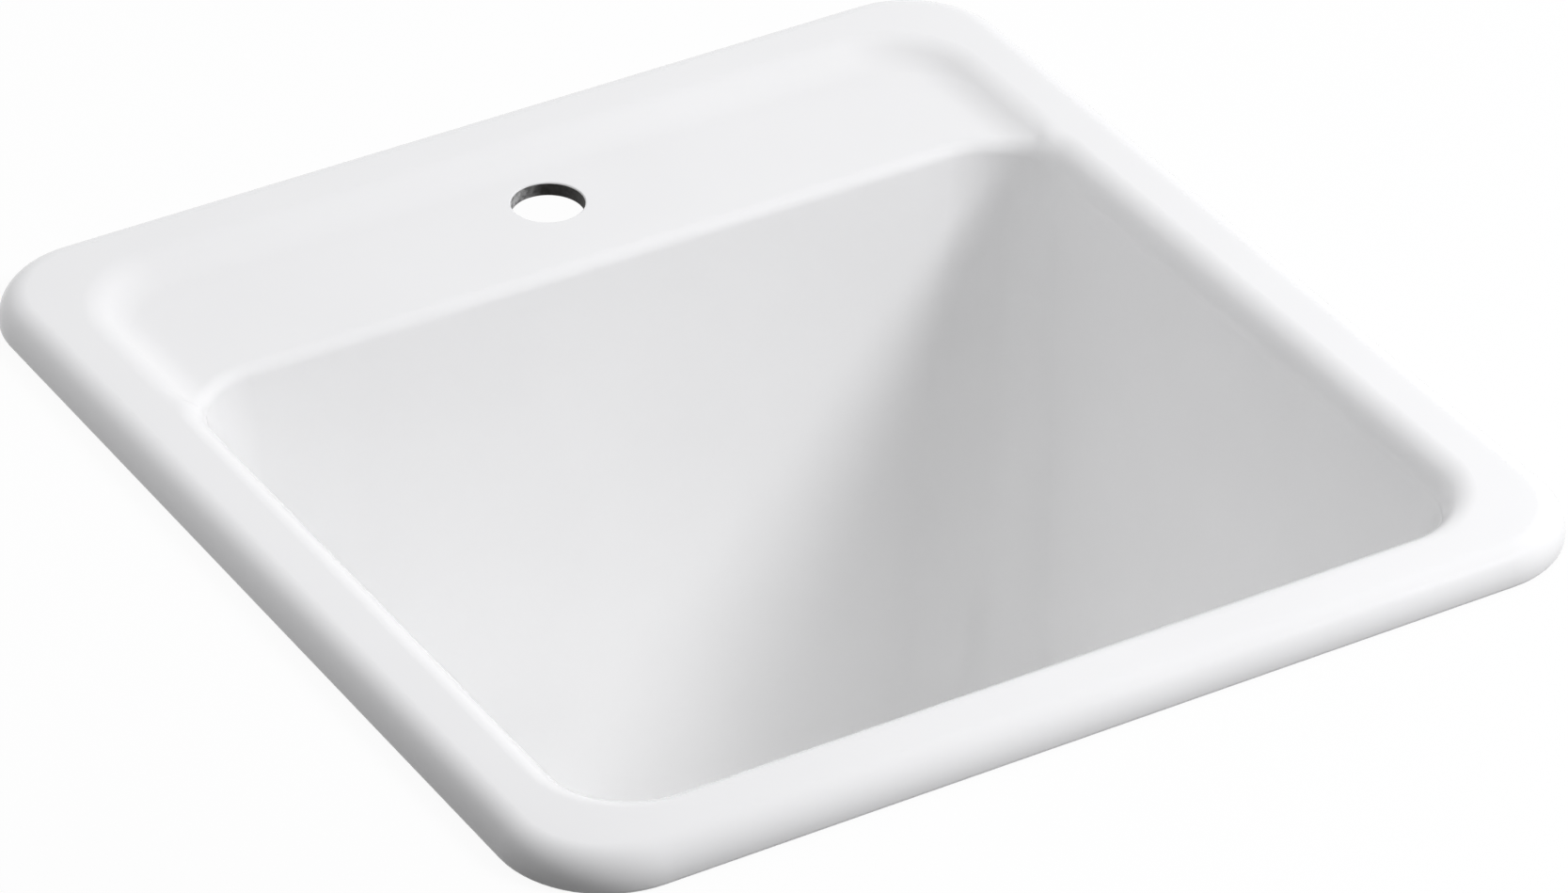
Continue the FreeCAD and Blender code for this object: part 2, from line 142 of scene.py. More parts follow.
class CastingSizes(bpy.types.PropertyGroup):
    """Sizes of the iron casting"""
    rim_width: length("Rim width", "Left to right over the rolled rim", CASTING_HIGH.x - CASTING_LOW.x)
    rim_depth: length("Rim depth", "Front to back over the rolled rim", CASTING_HIGH.y - CASTING_LOW.y)
    rim_height: length("Rim height", "Counter to the top of the rim", CASTING_HIGH.z)
    rim_corner: length("Rim corner", "Radius of the rim's corners in plan", 0.0515)
    rim_roll: length("Rim roll", "Radius of the rim's outer roll", 0.014)
    lip_round: length("Lip round", "Radius at the foot of the outer roll", 0.0025)
    seat_land: length("Seat land", "Width of the land that rests on the counter", 0.012)
    iron_wall: length("Wall", "Thickness of the iron", 0.0065)
    ledge: length("Ledge", "Outer edge of the rim to the bowl's wall", 0.0435)
    mouth_corner: length("Mouth corner", "Radius of the bowl's corners at the top", 0.036)
    inner_roll: length("Inner roll", "Radius of the roll into the bowl", 0.015)
    wall_swell: length("Wall swell", "How far the bowl's walls swell in below the rim's roll", 0.0007)
    swell_depth: length("Swell depth", "Depth below the roll at which that swell is greatest", 0.012)
    deck_drop: length("Deck drop", "Top of the rim to the faucet deck", 0.007)
    deck_shoulder: length("Deck shoulder", "Radius at the head of the deck's slope", 0.026)
    deck_cove: length("Deck cove", "Hollow radius at the foot of the deck's slope", 0.034)
    deck_reach: length("Deck reach", "Back of the rim to the bowl's back wall", 0.1349)
    deck_edge: length("Deck edge", "Radius of the deck's front edge", 0.0065)
    draft: number("Draft", "Lean of the bowl's walls", radians(5), unit="ROTATION", subtype="ANGLE")
    floor_corner: length("Floor corner", "Radius of the bowl's corners at the floor", 0.05)
    floor_round: length("Floor round", "Radius between the walls and the floor", 0.035)
    floor_fall: length("Floor fall", "Fall of the floor to the drain", 0.006)
    dish_radius: length("Dish radius", "Where the floor begins to fall", 0.125)
    recess_radius: length("Recess radius", "Radius of the recess for the strainer's flange", 0.059)
    recess_depth: length("Recess depth", "Depth of that recess", 0.0035)
    bore_radius: length("Drain radius", "Radius of the drain hole", 0.045)
    boss_radius: length("Boss radius", "Radius of the boss under the drain", 0.067)
    boss_wall: length("Boss wall", "Recess to the bottom of the boss", 0.009)
    hole_radius: length("Faucet hole radius", "Radius of the hole in the deck", 0.0175)
    hole_setback: length("Faucet hole setback", "Back of the rim to the middle of the hole", 0.079)
    hole_round: length("Faucet hole round", "Rounding of the hole's glazed edge", 0.0008)
    hole_foot: length("Faucet hole foot", "Rounding of the hole's bare lower edge", 0.0015)


class StrainerSizes(bpy.types.PropertyGroup):
    """Sizes of the basket strainer and its outlet"""
    cup_radius: length("Cup radius", "Outside of the strainer's cup", 0.042)
    cup_wall: length("Cup wall", "Thickness of the cup", 0.0018)
    cup_depth: length("Cup depth", "Flange to the cup's floor", 0.058)
    flange_thickness: length("Flange thickness", "Thickness of the flange", 0.0025)
    ledge_radius: length("Ledge radius", "Radius of the step that carries the basket", 0.0442)
    ledge_depth: length("Ledge depth", "Depth of that step", 0.0016)
    neck_radius: length("Neck radius", "Outside of the outlet neck", 0.0235)
    neck_bore: length("Neck bore", "Inner radius of the outlet neck", 0.0205)
    cup_hole: length("Cup hole", "Radius of the holes in the cup's floor", 0.0045)
    cup_circle: length("Cup hole circle", "Radius of the circle of holes", 0.015)
    thread_pitch: length("Thread pitch", "Distance between threads", 0.0022)
    thread_depth: length("Thread depth", "Height of the thread", 0.0006)
    basket_wall: length("Basket wall", "Thickness of the basket", 0.001)
    basket_foot: length("Basket foot", "Radius at the foot of the basket", 0.035)
    basket_radius: length("Basket radius", "Radius of the basket under its rim", 0.038)
    basket_hole: length("Basket hole", "Radius of the basket's holes", 0.003)
    tail_radius: length("Tail radius", "Outside of the outlet tube", 0.01905)
    tail_wall: length("Tail wall", "Thickness of the outlet tube", 0.0012)


class SinkFinishes(bpy.types.PropertyGroup):
    """Colours of the finishes"""
    enamel: colour("Enamel", "Glossy white enamel", (0.93, 0.93, 0.93))
    iron: colour("Bare iron", "Cast iron below the enamel", (0.12, 0.115, 0.11))
    steel: colour("Stainless steel", "Spun steel of the strainer", (0.62, 0.62, 0.61))
    plating: colour("Plating", "Bright plated tube, nut and knob", (0.75, 0.75, 0.76))
    brass: colour("Cast brass", "As-cast lock nut", (0.62, 0.5, 0.26))
    rubber: colour("Rubber", "Gasket and stopper", (0.03, 0.03, 0.032))
    fibre: colour("Fibre", "Pressed fibre ring", (0.45, 0.33, 0.2))
    plastic: colour("White plastic", "Bush and tail washer", (0.8, 0.8, 0.78))
    putty: colour("Putty", "Sealing bed under the flange", (0.62, 0.6, 0.55))


class StageSettings(bpy.types.PropertyGroup):
    """Counter panel, floor, light and camera"""
    panel_reach: length("Panel reach", "Width of the counter panel round its cut-out", 0.36)
    cutout_width: length("Cut-out width", "Width of the counter's cut-out", 0.508)
    cutout_depth: length("Cut-out depth", "Depth of the counter's cut-out", 0.533)
    cutout_corner: length("Cut-out corner", "Radius of the cut-out's corners", 0.038)
    panel_thickness: length("Panel thickness", "Thickness of the counter panel", 0.012)
    floor_drop: length("Floor drop", "Counter to the floor below", 0.53)
    floor_size: length("Floor size", "Side of the floor", 12.0)
    key_power: number("Key power", "Power of the large soft lamp", 38.0, unit="POWER")
    key_size: length("Key size", "Diameter of the large soft lamp", 0.9)
    fill_power: number("Fill power", "Power of the small lamp over the bowl", 0.1, unit="POWER")
    fill_size: length("Fill size", "Diameter of the small lamp over the bowl", 0.12)
    ambient: number("Ambient", "Strength of the soft light from all round", 0.76, min=0)
    ambient_left: number("Ambient at left", "Strength of that light from the far left", 0.38, min=0)
    light_tint: colour("Light tint", "Slightly cool studio light", (0.985, 0.985, 1.0))
    lens: number("Lens", "Focal length in millimetres", 192.97, subtype="DISTANCE_CAMERA")


def make_active(piece):
    """The piece alone is selected and active."""
    bpy.ops.object.select_all(action="DESELECT")
    piece.select_set(True)
    bpy.context.view_layer.objects.active = piece


def added(name):
    """Names the object that an operator has just added."""
    piece = bpy.context.object
    piece.name = name
    piece.data.name = name
    return piece


def settle(piece):
    """Moves the piece's place, turn and scale into its mesh."""
    make_active(piece)
    bpy.ops.object.transform_apply(location=True, rotation=True, scale=True)


def apply_modifier(piece, kind, **settings):
    """Adds a modifier, sets it up and applies it."""
    make_active(piece)
    modifier = piece.modifiers.new(kind.title(), kind)
    for key, value in settings.items():
        setattr(modifier, key, value)
    bpy.ops.object.modifier_apply(modifier=modifier.name)


def cut_away(piece, cutter):
    """Cuts one mesh out of another and removes the cutter."""
    apply_modifier(piece, "BOOLEAN", operation="DIFFERENCE", solver="EXACT", object=cutter)
    bpy.data.objects.remove(cutter)


def soften(piece, width, segments, angle):
    """Rounds the edges that turn by more than an angle in degrees."""
    apply_modifier(
        piece, "BEVEL", width=width, segments=segments, limit_method="ANGLE", angle_limit=radians(angle),
    )


def start_edit(piece):
    """Opens the piece in edit mode with everything selected."""
    make_active(piece)
    bpy.ops.object.mode_set(mode="EDIT")
    bpy.ops.mesh.select_all(action="SELECT")


def end_edit():
    """Leaves edit mode."""
    bpy.ops.object.mode_set(mode="OBJECT")


def end_edit_outward():
    """Points all faces outward and leaves edit mode."""
    bpy.ops.mesh.select_all(action="SELECT")
    bpy.ops.mesh.normals_make_consistent(inside=False)
    end_edit()


def clear_choice(piece, kind):
    """Leaves the piece in object mode, ready to choose edges or faces, with none chosen."""
    start_edit(piece)
    bpy.ops.mesh.select_mode(type=kind)
    bpy.ops.mesh.select_all(action="DESELECT")
    end_edit()


def choose_edges(piece, wanted):
    """Selects in edit mode the edges whose two ends satisfy the test together."""
    clear_choice(piece, "EDGE")
    places = [vertex.co for vertex in piece.data.vertices]
    for edge in piece.data.edges:
        first, second = edge.vertices
        edge.select = wanted(places[first], places[second])
    bpy.ops.object.mode_set(mode="EDIT")


def choose_faces(piece, wanted):
    """Selects in edit mode the faces that satisfy the test."""
    clear_choice(piece, "FACE")
    for face in piece.data.polygons:
        face.select = wanted(face)
    bpy.ops.object.mode_set(mode="EDIT")


def even_shading(piece, angle):
    """Smooth shading that keeps edges over the angle in degrees and lets flat faces stay flat."""
    make_active(piece)
    bpy.ops.object.shade_smooth_by_angle(angle=radians(angle))
    apply_modifier(piece, "WEIGHTED_NORMAL", mode="FACE_AREA", weight=50, keep_sharp=True)


def seat_piece(piece, angle, body, slot_name, material, *nodes):
    """Shades a finished piece, gives it its finish and its body, and hides the nodes that it stands for."""
    even_shading(piece, angle)
    piece.data.materials.append(material)
    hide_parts(*nodes)
    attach(piece, body)


def add_node(tree, kind, inputs, **settings):
    """A new node with its settings; an input is given a socket to link or a constant."""
    node = tree.nodes.new(kind)
    for key, value in settings.items():
        setattr(node, key, value)
    for key, value in inputs.items():
        if isinstance(value, bpy.types.NodeSocket):
            tree.links.new(value, node.inputs[key])
        else:
            node.inputs[key].default_value = value
    return node


def finish(name):
    """A new material with its node tree, its shader and the place that patterns are measured from."""
    material = bpy.data.materials.new(name)
    material.use_nodes = True
    tree = material.node_tree
    place = tree.nodes.new("ShaderNodeTexCoord").outputs["Object"]
    return material, tree, tree.nodes["Principled BSDF"], place


def mottle(tree, place, scale, detail=3.0):
    """Soft cloudy pattern."""
    noise = add_node(tree, "ShaderNodeTexNoise", {"Vector": place, "Scale": scale, "Detail": detail})
    return noise.outputs["Fac"]


def between(tree, factor, low, high, start=0.3, end=0.7):
    """A number that runs from low to high as the factor goes from start to end."""
    spread = add_node(tree, "ShaderNodeMapRange", {
        "Value": factor, "From Min": start, "From Max": end, "To Min": low, "To Max": high,
    })
    return spread.outputs["Result"]


def tint(tree, factor, dark, light, start=0.3, end=0.7):
    """A colour that runs from dark to light as the factor goes from start to end."""
    node = add_node(tree, "ShaderNodeValToRGB", {"Fac": factor})
    for element, position, shade in zip(node.color_ramp.elements, (start, end), (dark, light)):
        element.position = position
        element.color = (*shade, 1)
    return node.outputs["Color"]


def mixed(tree, factor, first, second):
    """Two colours mixed by a factor."""
    mix = add_node(tree, "ShaderNodeMix", {"Factor": factor, "A": first, "B": second}, data_type="RGBA")
    return mix.outputs["Result"]


def combined(tree, operation, first, *others):
    """Several numbers combined by one operation, such as MULTIPLY."""
    for other in others:
        first = add_node(tree, "ShaderNodeMath", {0: first, 1: other}, operation=operation).outputs["Value"]
    return first


def scaled(base, share):
    """A colour made darker or lighter by a share."""
    return tuple(min(1.0, channel * share) for channel in base)


def coat(tree, shader, shade, roughness, metallic, height, relief):
    """Links a shader's colour, roughness and relief, which has a depth in metres and a strength."""
    depth, strength = relief
    bump = add_node(tree, "ShaderNodeBump", {"Strength": strength, "Distance": depth, "Height": height})
    tree.links.new(shade, shader.inputs["Base Color"])
    tree.links.new(roughness, shader.inputs["Roughness"])
    tree.links.new(bump.outputs["Normal"], shader.inputs["Normal"])
    shader.inputs["Metallic"].default_value = metallic


def turned_place(tree, place):
    """Radius and height about the drain's axis, for marks left by a lathe."""
    shift = add_node(tree, "ShaderNodeMapping", {"Vector": place, "Location": (0, -DRAIN_Y, 0)})
    off_axis = shift.outputs["Vector"]
    flat = add_node(tree, "ShaderNodeVectorMath", {0: off_axis, 1: (1, 1, 0)}, operation="MULTIPLY")
    radius = add_node(tree, "ShaderNodeVectorMath", {0: flat.outputs["Vector"]}, operation="LENGTH")
    height = add_node(tree, "ShaderNodeSeparateXYZ", {"Vector": off_axis}).outputs["Z"]
    ring = add_node(tree, "ShaderNodeCombineXYZ", {"X": radius.outputs["Value"], "Y": height})
    return ring.outputs["Vector"]


def patterned_finish(
    name, base, shares, pattern, roughness, relief, sheen=None, bumps=None, metallic=0.0, spread=(0.3, 0.7),
    lathe=False,
):
    """A finish that runs between two shares of its base colour.

    A pattern is a scale and a detail. Sheen and bumps follow the colour's pattern or have their own.
    """
    material, tree, shader, place = finish(name)
    clouds = mottle(tree, turned_place(tree, place) if lathe else place, *pattern)
    gloss = mottle(tree, place, *sheen) if sheen else clouds
    height = mottle(tree, place, *bumps) if bumps else clouds
    shade = tint(tree, clouds, *(scaled(base, share) for share in shares), *spread)
    coat(tree, shader, shade, between(tree, gloss, *roughness), metallic, height, relief)
    return material


def enamel_finish(colours):
    """Fired glossy enamel: a hair of waviness, a few softer patches and very slight cloudiness."""
    return patterned_finish(
        "white_enamel", colours.enamel, shares=(0.985, 1.0), pattern=(14.0, 4.0), roughness=(0.13, 0.2),
        sheen=(55.0, 3.0), relief=(0.00008, 0.18), bumps=(130.0, 2.0),
    )


def iron_finish(colours):
    """Sand-cast iron with rust and a dust of enamel near the rim.

    In the faucet hole its colour is darkened further with painted shade, and a little glaze has run in at
    the left.
    """
    material, tree, shader, place = finish("bare_iron")
    parts = add_node(tree, "ShaderNodeSeparateXYZ", {"Vector": place})
    across, up = parts.outputs["X"], parts.outputs["Z"]
    grain = mottle(tree, place, 420.0, 6.0)
    patches = mottle(tree, place, 11.0, 5.0)
    specks = between(tree, mottle(tree, place, 60.0, 6.0), 0.0, 1.0, 0.42, 0.62)
    runs = between(tree, mottle(tree, place, 260.0, 4.0), 0.4, 1.0, 0.4, 0.55)

    skin = tint(tree, grain, scaled(colours.iron, 0.6), scaled(colours.iron, 1.5))
    rust = tint(tree, grain, (0.07, 0.035, 0.018), (0.19, 0.1, 0.055))
    dust = tint(tree, grain, (0.5, 0.5, 0.49), (0.7, 0.7, 0.69))
    # Painted shade: the iron in the faucet hole made darker still, standing in for the shade on the hole's
    # wall.
    painted_hole_shade = tint(tree, grain, scaled(colours.iron, 0.22), scaled(colours.iron, 0.5))
    glaze = tint(tree, grain, scaled(colours.enamel, 0.55), scaled(colours.enamel, 0.75))

    rusty = between(tree, patches, 0.0, 0.45, 0.5, 0.72)
    dusty = combined(tree, "MULTIPLY", specks, between(tree, up, 0.0, 0.5, -0.06, 0.012))
    # Where the faucet hole's wall lies: it gets the painted shade and, at its left, the real glaze run.
    in_hole = between(tree, up, 0.0, 1.0, 0.0025, 0.0035)
    left_half = between(tree, across, 1.0, 0.0, -0.006, 0.006)
    not_beyond = between(tree, across, 0.0, 1.0, -0.03, -0.02)
    glazed = combined(tree, "MULTIPLY", in_hole, left_half, not_beyond, runs)

    shade = mixed(tree, dusty, mixed(tree, rusty, skin, rust), dust)
    # In the faucet hole the colour becomes the painted shade, except where the glaze has run.
    shade = mixed(tree, glazed, mixed(tree, in_hole, shade, painted_hole_shade), glaze)
    coat(tree, shader, shade, between(tree, patches, 0.62, 0.85), 0.25, grain, (0.0004, 0.7))
    return material


def steel_finish(colours):
    """Spun stainless steel: fine rings left by the lathe and faint smears."""
    return patterned_finish(
        "spun_steel", colours.steel, shares=(0.88, 1.0), pattern=(2600.0, 2.0), lathe=True,
        roughness=(0.2, 0.34), sheen=(45.0, 3.0), relief=(0.00002, 0.5), metallic=1.0,
    )


def plated_finish(name, colours):
    """Bright plating with a little haze."""
    return patterned_finish(
        name, colours.plating, shares=(0.93, 1.0), pattern=(70.0, 4.0), roughness=(0.05, 0.15),
        relief=(0.00002, 0.3), bumps=(300.0, 3.0), metallic=1.0,
    )


def brass_finish(colours):
    """Cast brass, dull and slightly pitted."""
    return patterned_finish(
        "cast_brass", colours.brass, shares=(0.7, 1.0), pattern=(60.0, 4.0), roughness=(0.32, 0.52),
        relief=(0.00012, 0.5), bumps=(700.0, 5.0), metallic=1.0,
    )


def rubber_finish(colours):
    """Moulded black rubber with a pale bloom."""
    return patterned_finish(
        "black_rubber", colours.rubber, shares=(1.0, 2.4), pattern=(120.0, 5.0), spread=(0.35, 0.8),
        roughness=(0.55, 0.8), relief=(0.00005, 0.4), bumps=(900.0, 3.0),
    )


def fibre_finish(colours):
    """Pressed fibre with pale and dark flecks."""
    return patterned_finish(
        "pressed_fibre", colours.fibre, shares=(0.6, 1.3), pattern=(800.0, 4.0), roughness=(0.75, 0.92),
        relief=(0.00008, 0.5),
    )


def plastic_finish(colours):
    """Moulded white plastic, a little uneven in sheen."""
    return patterned_finish(
        "white_plastic", colours.plastic, shares=(0.95, 1.0), pattern=(160.0, 3.0), roughness=(0.35, 0.5),
        relief=(0.00003, 0.3), bumps=(1200.0, 3.0),
    )


def putty_finish(colours):
    """Oily putty, lumpy and uneven in colour."""
    return patterned_finish(
        "sealing_putty", colours.putty, shares=(0.8, 1.0), pattern=(260.0, 5.0), roughness=(0.5, 0.75),
        relief=(0.0003, 0.6),
    )


def on_outline(half, front, back, corner, turn_start, stretch, share):
    """Point and inward direction on the right half of a rounded rectangle.

    The stretches are front, front corner, side, back corner and back. An outline that runs on behind
    turn_start takes the rest of its side and its corner in the fourth stretch.
    """
    reach, low, high = half - corner, front + corner, back - corner
    if stretch == 0:
        return Vector((reach * share, front)), Vector((0, 1))
    if stretch == 1:
        angle = (share - 1) * pi / 2
        ray = Vector((cos(angle), sin(angle)))
        return Vector((reach, low)) + corner * ray, -ray
    if stretch == 2:
        return Vector((half, low + (min(turn_start, high) - low) * share)), Vector((-1, 0))
    if stretch == 3:
        straight = STRAIGHT_SHARE if high > turn_start + NEAR else 0.0
        if share < straight:
            return Vector((half, turn_start + (high - turn_start) * share / straight)), Vector((-1, 0))
        angle = (share - straight) / (1 - straight) * pi / 2
        ray = Vector((cos(angle), sin(angle)))
        return Vector((reach, high)) + corner * ray, -ray
    return Vector((reach * (1 - share), back)), Vector((0, -1))


def depth_inside(place, half, front, back, corner):
    """How far a point lies inside a rounded rectangle; outside it is negative."""
    wide = abs(place.x) - (half - corner)
    deep = abs(place.y - (front + back) / 2) - ((back - front) / 2 - corner)
    return corner - hypot(max(wide, 0), max(deep, 0)) - min(max(wide, deep), 0)


def edge_drop(radius, distance):
    """Drop of a rounded edge at a distance from its vertical side."""
    short = max(radius - distance, 0.0)
    return radius - sqrt(max(radius * radius - short * short, 0.0))


def eased(value, start, end):
    """Smooth step from 0 at start to 1 at end."""
    share = min(max((value - start) / (end - start), 0.0), 1.0)
    return share * share * (3 - 2 * share)


def deck_height(sizes, run):
    """Height along the S-curve from the rim's top down to the faucet deck."""
    shoulder, cove = sizes.deck_shoulder, sizes.deck_cove
    shoulder_centre = sizes.rim_height - shoulder
    cove_centre = sizes.rim_height - sizes.deck_drop + cove
    reach = sqrt((shoulder + cove) ** 2 - (cove_centre - shoulder_centre) ** 2)
    turn = reach * shoulder / (shoulder + cove)
    if run <= turn:
        return shoulder_centre + sqrt(shoulder * shoulder - run * run)
    if run <= reach:
        return cove_centre - sqrt(cove * cove - (reach - run) ** 2)
    return cove_centre - cove


def casting_stations():
    """Stretch and share of each section, from the front middle round the right side to the back middle."""
    stations = []
    for stretch, count in enumerate(STRETCH_STEPS):
        stations += [(stretch, step / count) for step in range(count)]
    return stations + [(len(STRETCH_STEPS) - 1, 1.0)]


def casting_levels(sizes):
    """Levels of the drain's recess, of the dish where it meets the recess, and of the floor."""
    recess = CASTING_LOW.z + sizes.boss_wall
    dish = recess + sizes.recess_depth
    return recess, dish, dish + sizes.floor_fall


def floor_level(sizes, radius):
    """Level of the dished floor at a distance from the drain's axis."""
    _, dish, floor = casting_levels(sizes)
    fall = sizes.floor_fall / (sizes.dish_radius - sizes.recess_radius)
    return min(floor, dish + fall * (radius - sizes.recess_radius))


def rim_rows(sizes, rim_point, roll_start):
    """Rows over the rim: lip, outer roll and flat top. A row is a place in plan and a level."""
    rows = []
    for step in range(LIP_STEPS + 1):
        angle = step / LIP_STEPS * pi / 2
        rows.append((rim_point(sizes.lip_round * (1 - sin(angle))), sizes.lip_round * (1 - cos(angle))))
    for step in range(1, ROLL_STEPS + 1):
        angle = step / ROLL_STEPS * pi / 2
        level = sizes.rim_height - sizes.rim_roll * (1 - sin(angle))
        rows.append((rim_point(sizes.rim_roll * (1 - cos(angle))), level))
    shoulder = rim_point(sizes.rim_roll)
    for step in range(1, TOP_STEPS):
        rows.append((shoulder.lerp(roll_start, step / TOP_STEPS), sizes.rim_height))
    return rows


def apron_rows(sizes, tray, mouth, roll_start, edge, deckness):
    """Rows from the rim's flat top to the bowl's mouth, over the inner roll or over the deck."""
    top, roll = sizes.rim_height, sizes.inner_roll
    apron = (edge - roll_start).length
    slope, brink = min(SLOPE_RUN, SLOPE_SHARE * apron), min(BRINK_RUN, BRINK_SHARE * apron)
    runs = [slope * step / SLOPE_STEPS for step in range(SLOPE_STEPS)]
    runs += [slope + (apron - slope - brink) * step / FLAT_STEPS for step in range(FLAT_STEPS)]
    runs += [apron - brink * (1 - step / BRINK_STEPS) ** 2 for step in range(BRINK_STEPS + 1)]
    radius = roll + (sizes.deck_edge - roll) * deckness
    rows = []
    for run in runs:
        place = roll_start.lerp(edge, run / apron)
        surface = top + (deck_height(sizes, max(depth_inside(place, *tray), 0.0)) - top) * deckness
        rows.append((place, surface - edge_drop(radius, max(-depth_inside(place, *mouth), 0.0))))
    return rows


def wall_rows(sizes, edge, crease, foot, inward, deckness):
    """Rows down the bowl's wall, from the crease at its mouth to the round at its foot."""
    floor = casting_levels(sizes)[-1]
    last = WALL_DEPTHS[-1]
    round_top = floor + sizes.floor_round * (1 - sin(sizes.draft))
    rest = [last + (crease - round_top - last) * step / WALL_STEPS for step in range(1, WALL_STEPS)]
    rows = []
    for depth in (*WALL_DEPTHS, *rest):
        reach = depth / sizes.swell_depth
        swell = sizes.wall_swell * (1 - deckness) * reach * exp(1 - reach)
        rows.append((edge.lerp(foot, depth / (crease - floor)) + inward * swell, crease - depth))
    return rows


def round_rows(sizes, centre, inward, radius, start, end, steps):
    """Rows of the round between wall and floor, from one angle to another."""
    centre_level = casting_levels(sizes)[-1] + sizes.floor_round
    angles = [start + (end - start) * step / steps for step in range(steps + 1)]
    return [(centre - inward * radius * cos(angle), centre_level - radius * sin(angle)) for angle in angles]


def dish_profile(sizes, far):
    """Distance from the drain's axis and level of the rows down the floor and into the drain."""
    recess = casting_levels(sizes)[0]
    wanted = [sizes.dish_radius, *DISH_RADII, sizes.recess_radius + RECESS_EDGE, sizes.recess_radius]
    radii = [min(radius, far - ROW_GAP * (len(wanted) - step)) for step, radius in enumerate(wanted)]
    return [
        *((radius, floor_level(sizes, radius)) for radius in radii),
        (sizes.recess_radius - RECESS_FOOT, recess + RECESS_FOOT_RISE),
        (sizes.bore_radius + BORE_ROUND, recess),
        (sizes.bore_radius, recess - BORE_ROUND),
    ]


def boss_profile(sizes, far):
    """Distance from the drain's axis and level of the bare rows, from the bore out under the floor."""
    boss = CASTING_LOW.z
    wanted = (sizes.boss_radius + BOSS_FILLET, *UNDER_RADII, sizes.dish_radius)
    radii = [min(radius, far - 2 * ROW_GAP) for radius in wanted]
    return [
        (sizes.bore_radius, boss + BORE_FOOT),
        (sizes.bore_radius + BORE_FOOT, boss),
        (sizes.boss_radius - BOSS_ROUND, boss),
        (sizes.boss_radius, boss + BOSS_ROUND),
        *((radius, floor_level(sizes, radius) - sizes.iron_wall) for radius in radii),
    ]


def straight_rows(start, end, steps):
    """Rows in equal steps from one row to another, without the first."""
    (place, level), (last_place, last_level) = start, end
    shares = [step / steps for step in range(1, steps + 1)]
    return [(place.lerp(last_place, share), level + (last_level - level) * share) for share in shares]


def channel_rows(sizes, rim_point, inner):
    """Rows of the hollow under the rim and of the land that rests on the counter."""
    ceiling = sizes.rim_height - sizes.iron_wall
    outer = rim_point(sizes.seat_land)
    return [
        (inner, ceiling - CHANNEL_ROUND),
        *((inner.lerp(outer, share), ceiling) for share in CHANNEL_SHARES),
        (outer, ceiling - CHANNEL_ROUND),
        (outer, SEAT_ROUND),
        (rim_point(sizes.seat_land - SEAT_ROUND), 0.0),
        (rim_point(sizes.lip_round + LIP_LAND), 0.0),
    ]


def casting_section(sizes, stretch, share):
    """One section through the casting as points, glazed side first, and the count of glazed points."""
    half, front, back = sizes.rim_width / 2, -sizes.rim_depth / 2, sizes.rim_depth / 2
    wall, roll, ledge = sizes.iron_wall, sizes.inner_roll, sizes.ledge
    mouth_back = back - sizes.deck_reach
    turn_start = mouth_back - sizes.mouth_corner
    lean = (sizes.rim_height - roll - casting_levels(sizes)[-1]) * tan(sizes.draft)

    def outline_point(inset, back_edge, corner):
        return on_outline(half - inset, front + inset, back_edge, corner, turn_start, stretch, share)[0]

    def rim_point(inset):
        return outline_point(inset, back - inset, sizes.rim_corner - inset)

    tray = (half - ledge + roll, front + ledge - roll, back - ledge + roll, sizes.mouth_corner + roll)
    mouth = (half - ledge, front + ledge, mouth_back, sizes.mouth_corner)
    base = (mouth[0] - lean, mouth[1] + lean, mouth[2] - lean, sizes.floor_corner)
    roll_start = on_outline(*tray, turn_start, stretch, share)[0]
    edge, inward = on_outline(*mouth, turn_start, stretch, share)
    foot = on_outline(*base, back, stretch, share)[0]
    deckness = eased((edge - roll_start).length, roll, FULL_DECK_APRON)
    tangent = sizes.floor_round / tan((pi / 2 + sizes.draft) / 2)
    centre = foot + inward * tangent
    drain = Vector((0, DRAIN_Y))
    ray, far = (centre - drain).normalized(), (centre - drain).length

    def about_drain(profile):
        return [(drain + ray * radius, level) for radius, level in profile]

    rows = rim_rows(sizes, rim_point, roll_start)
    rows += apron_rows(sizes, tray, mouth, roll_start, edge, deckness)
    rows += wall_rows(sizes, edge, rows[-1][1], foot, inward, deckness)
    rows += round_rows(sizes, centre, inward, sizes.floor_round, sizes.draft, pi / 2, FLOOR_ROUND_STEPS)
    rows += about_drain(dish_profile(sizes, far))
    glazed = len(rows)

    rows += about_drain(boss_profile(sizes, far))
    outer_round = sizes.floor_round + wall
    rows += round_rows(sizes, centre, inward, outer_round, pi / 2, sizes.draft, OUTER_ROUND_STEPS)
    skirt_corner = sizes.mouth_corner + wall
    under_mouth = outline_point(ledge - wall, mouth_back + wall, skirt_corner)
    under_tray = outline_point(ledge - wall, back - ledge + wall, skirt_corner)
    mouth_row = (under_mouth, UNDER_ROLL + UNDER_DECK_RISE * deckness)
    tray_row = (under_tray, sizes.rim_height - sizes.deck_drop - wall)
    rows += straight_rows(rows[-1], mouth_row, OUTER_WALL_STEPS)
    rows += straight_rows(mouth_row, tray_row, UNDER_DECK_STEPS)
    rows += channel_rows(sizes, rim_point, under_tray)
    return [Vector((place.x, place.y, level)) for place, level in rows], glazed


def shape_casting(sizes):
    """A ring of sections carried round the rim's outline."""
    right = [casting_section(sizes, *station) for station in casting_stations()]
    glazed = right[0][1]
    sections = [points for points, _ in right]
    sections += [[Vector((-p.x, p.y, p.z)) for p in points] for points in sections[-2:0:-1]]
    around, across = len(sections), len(sections[0])
    bpy.ops.mesh.primitive_torus_add(
        major_segments=around, minor_segments=across,
        major_radius=sizes.rim_width / 2, minor_radius=sizes.ledge,
    )
    casting = added("enamelled_casting")
    for index, vertex in enumerate(casting.data.vertices):
        vertex.co = sections[index // across][index % across]
    for face in casting.data.polygons:
        rows = [index % across for index in face.vertices]
        face.material_index = 0 if max(rows) < glazed and max(rows) - min(rows) == 1 else 1
    start_edit(casting)
    end_edit_outward()
    return casting


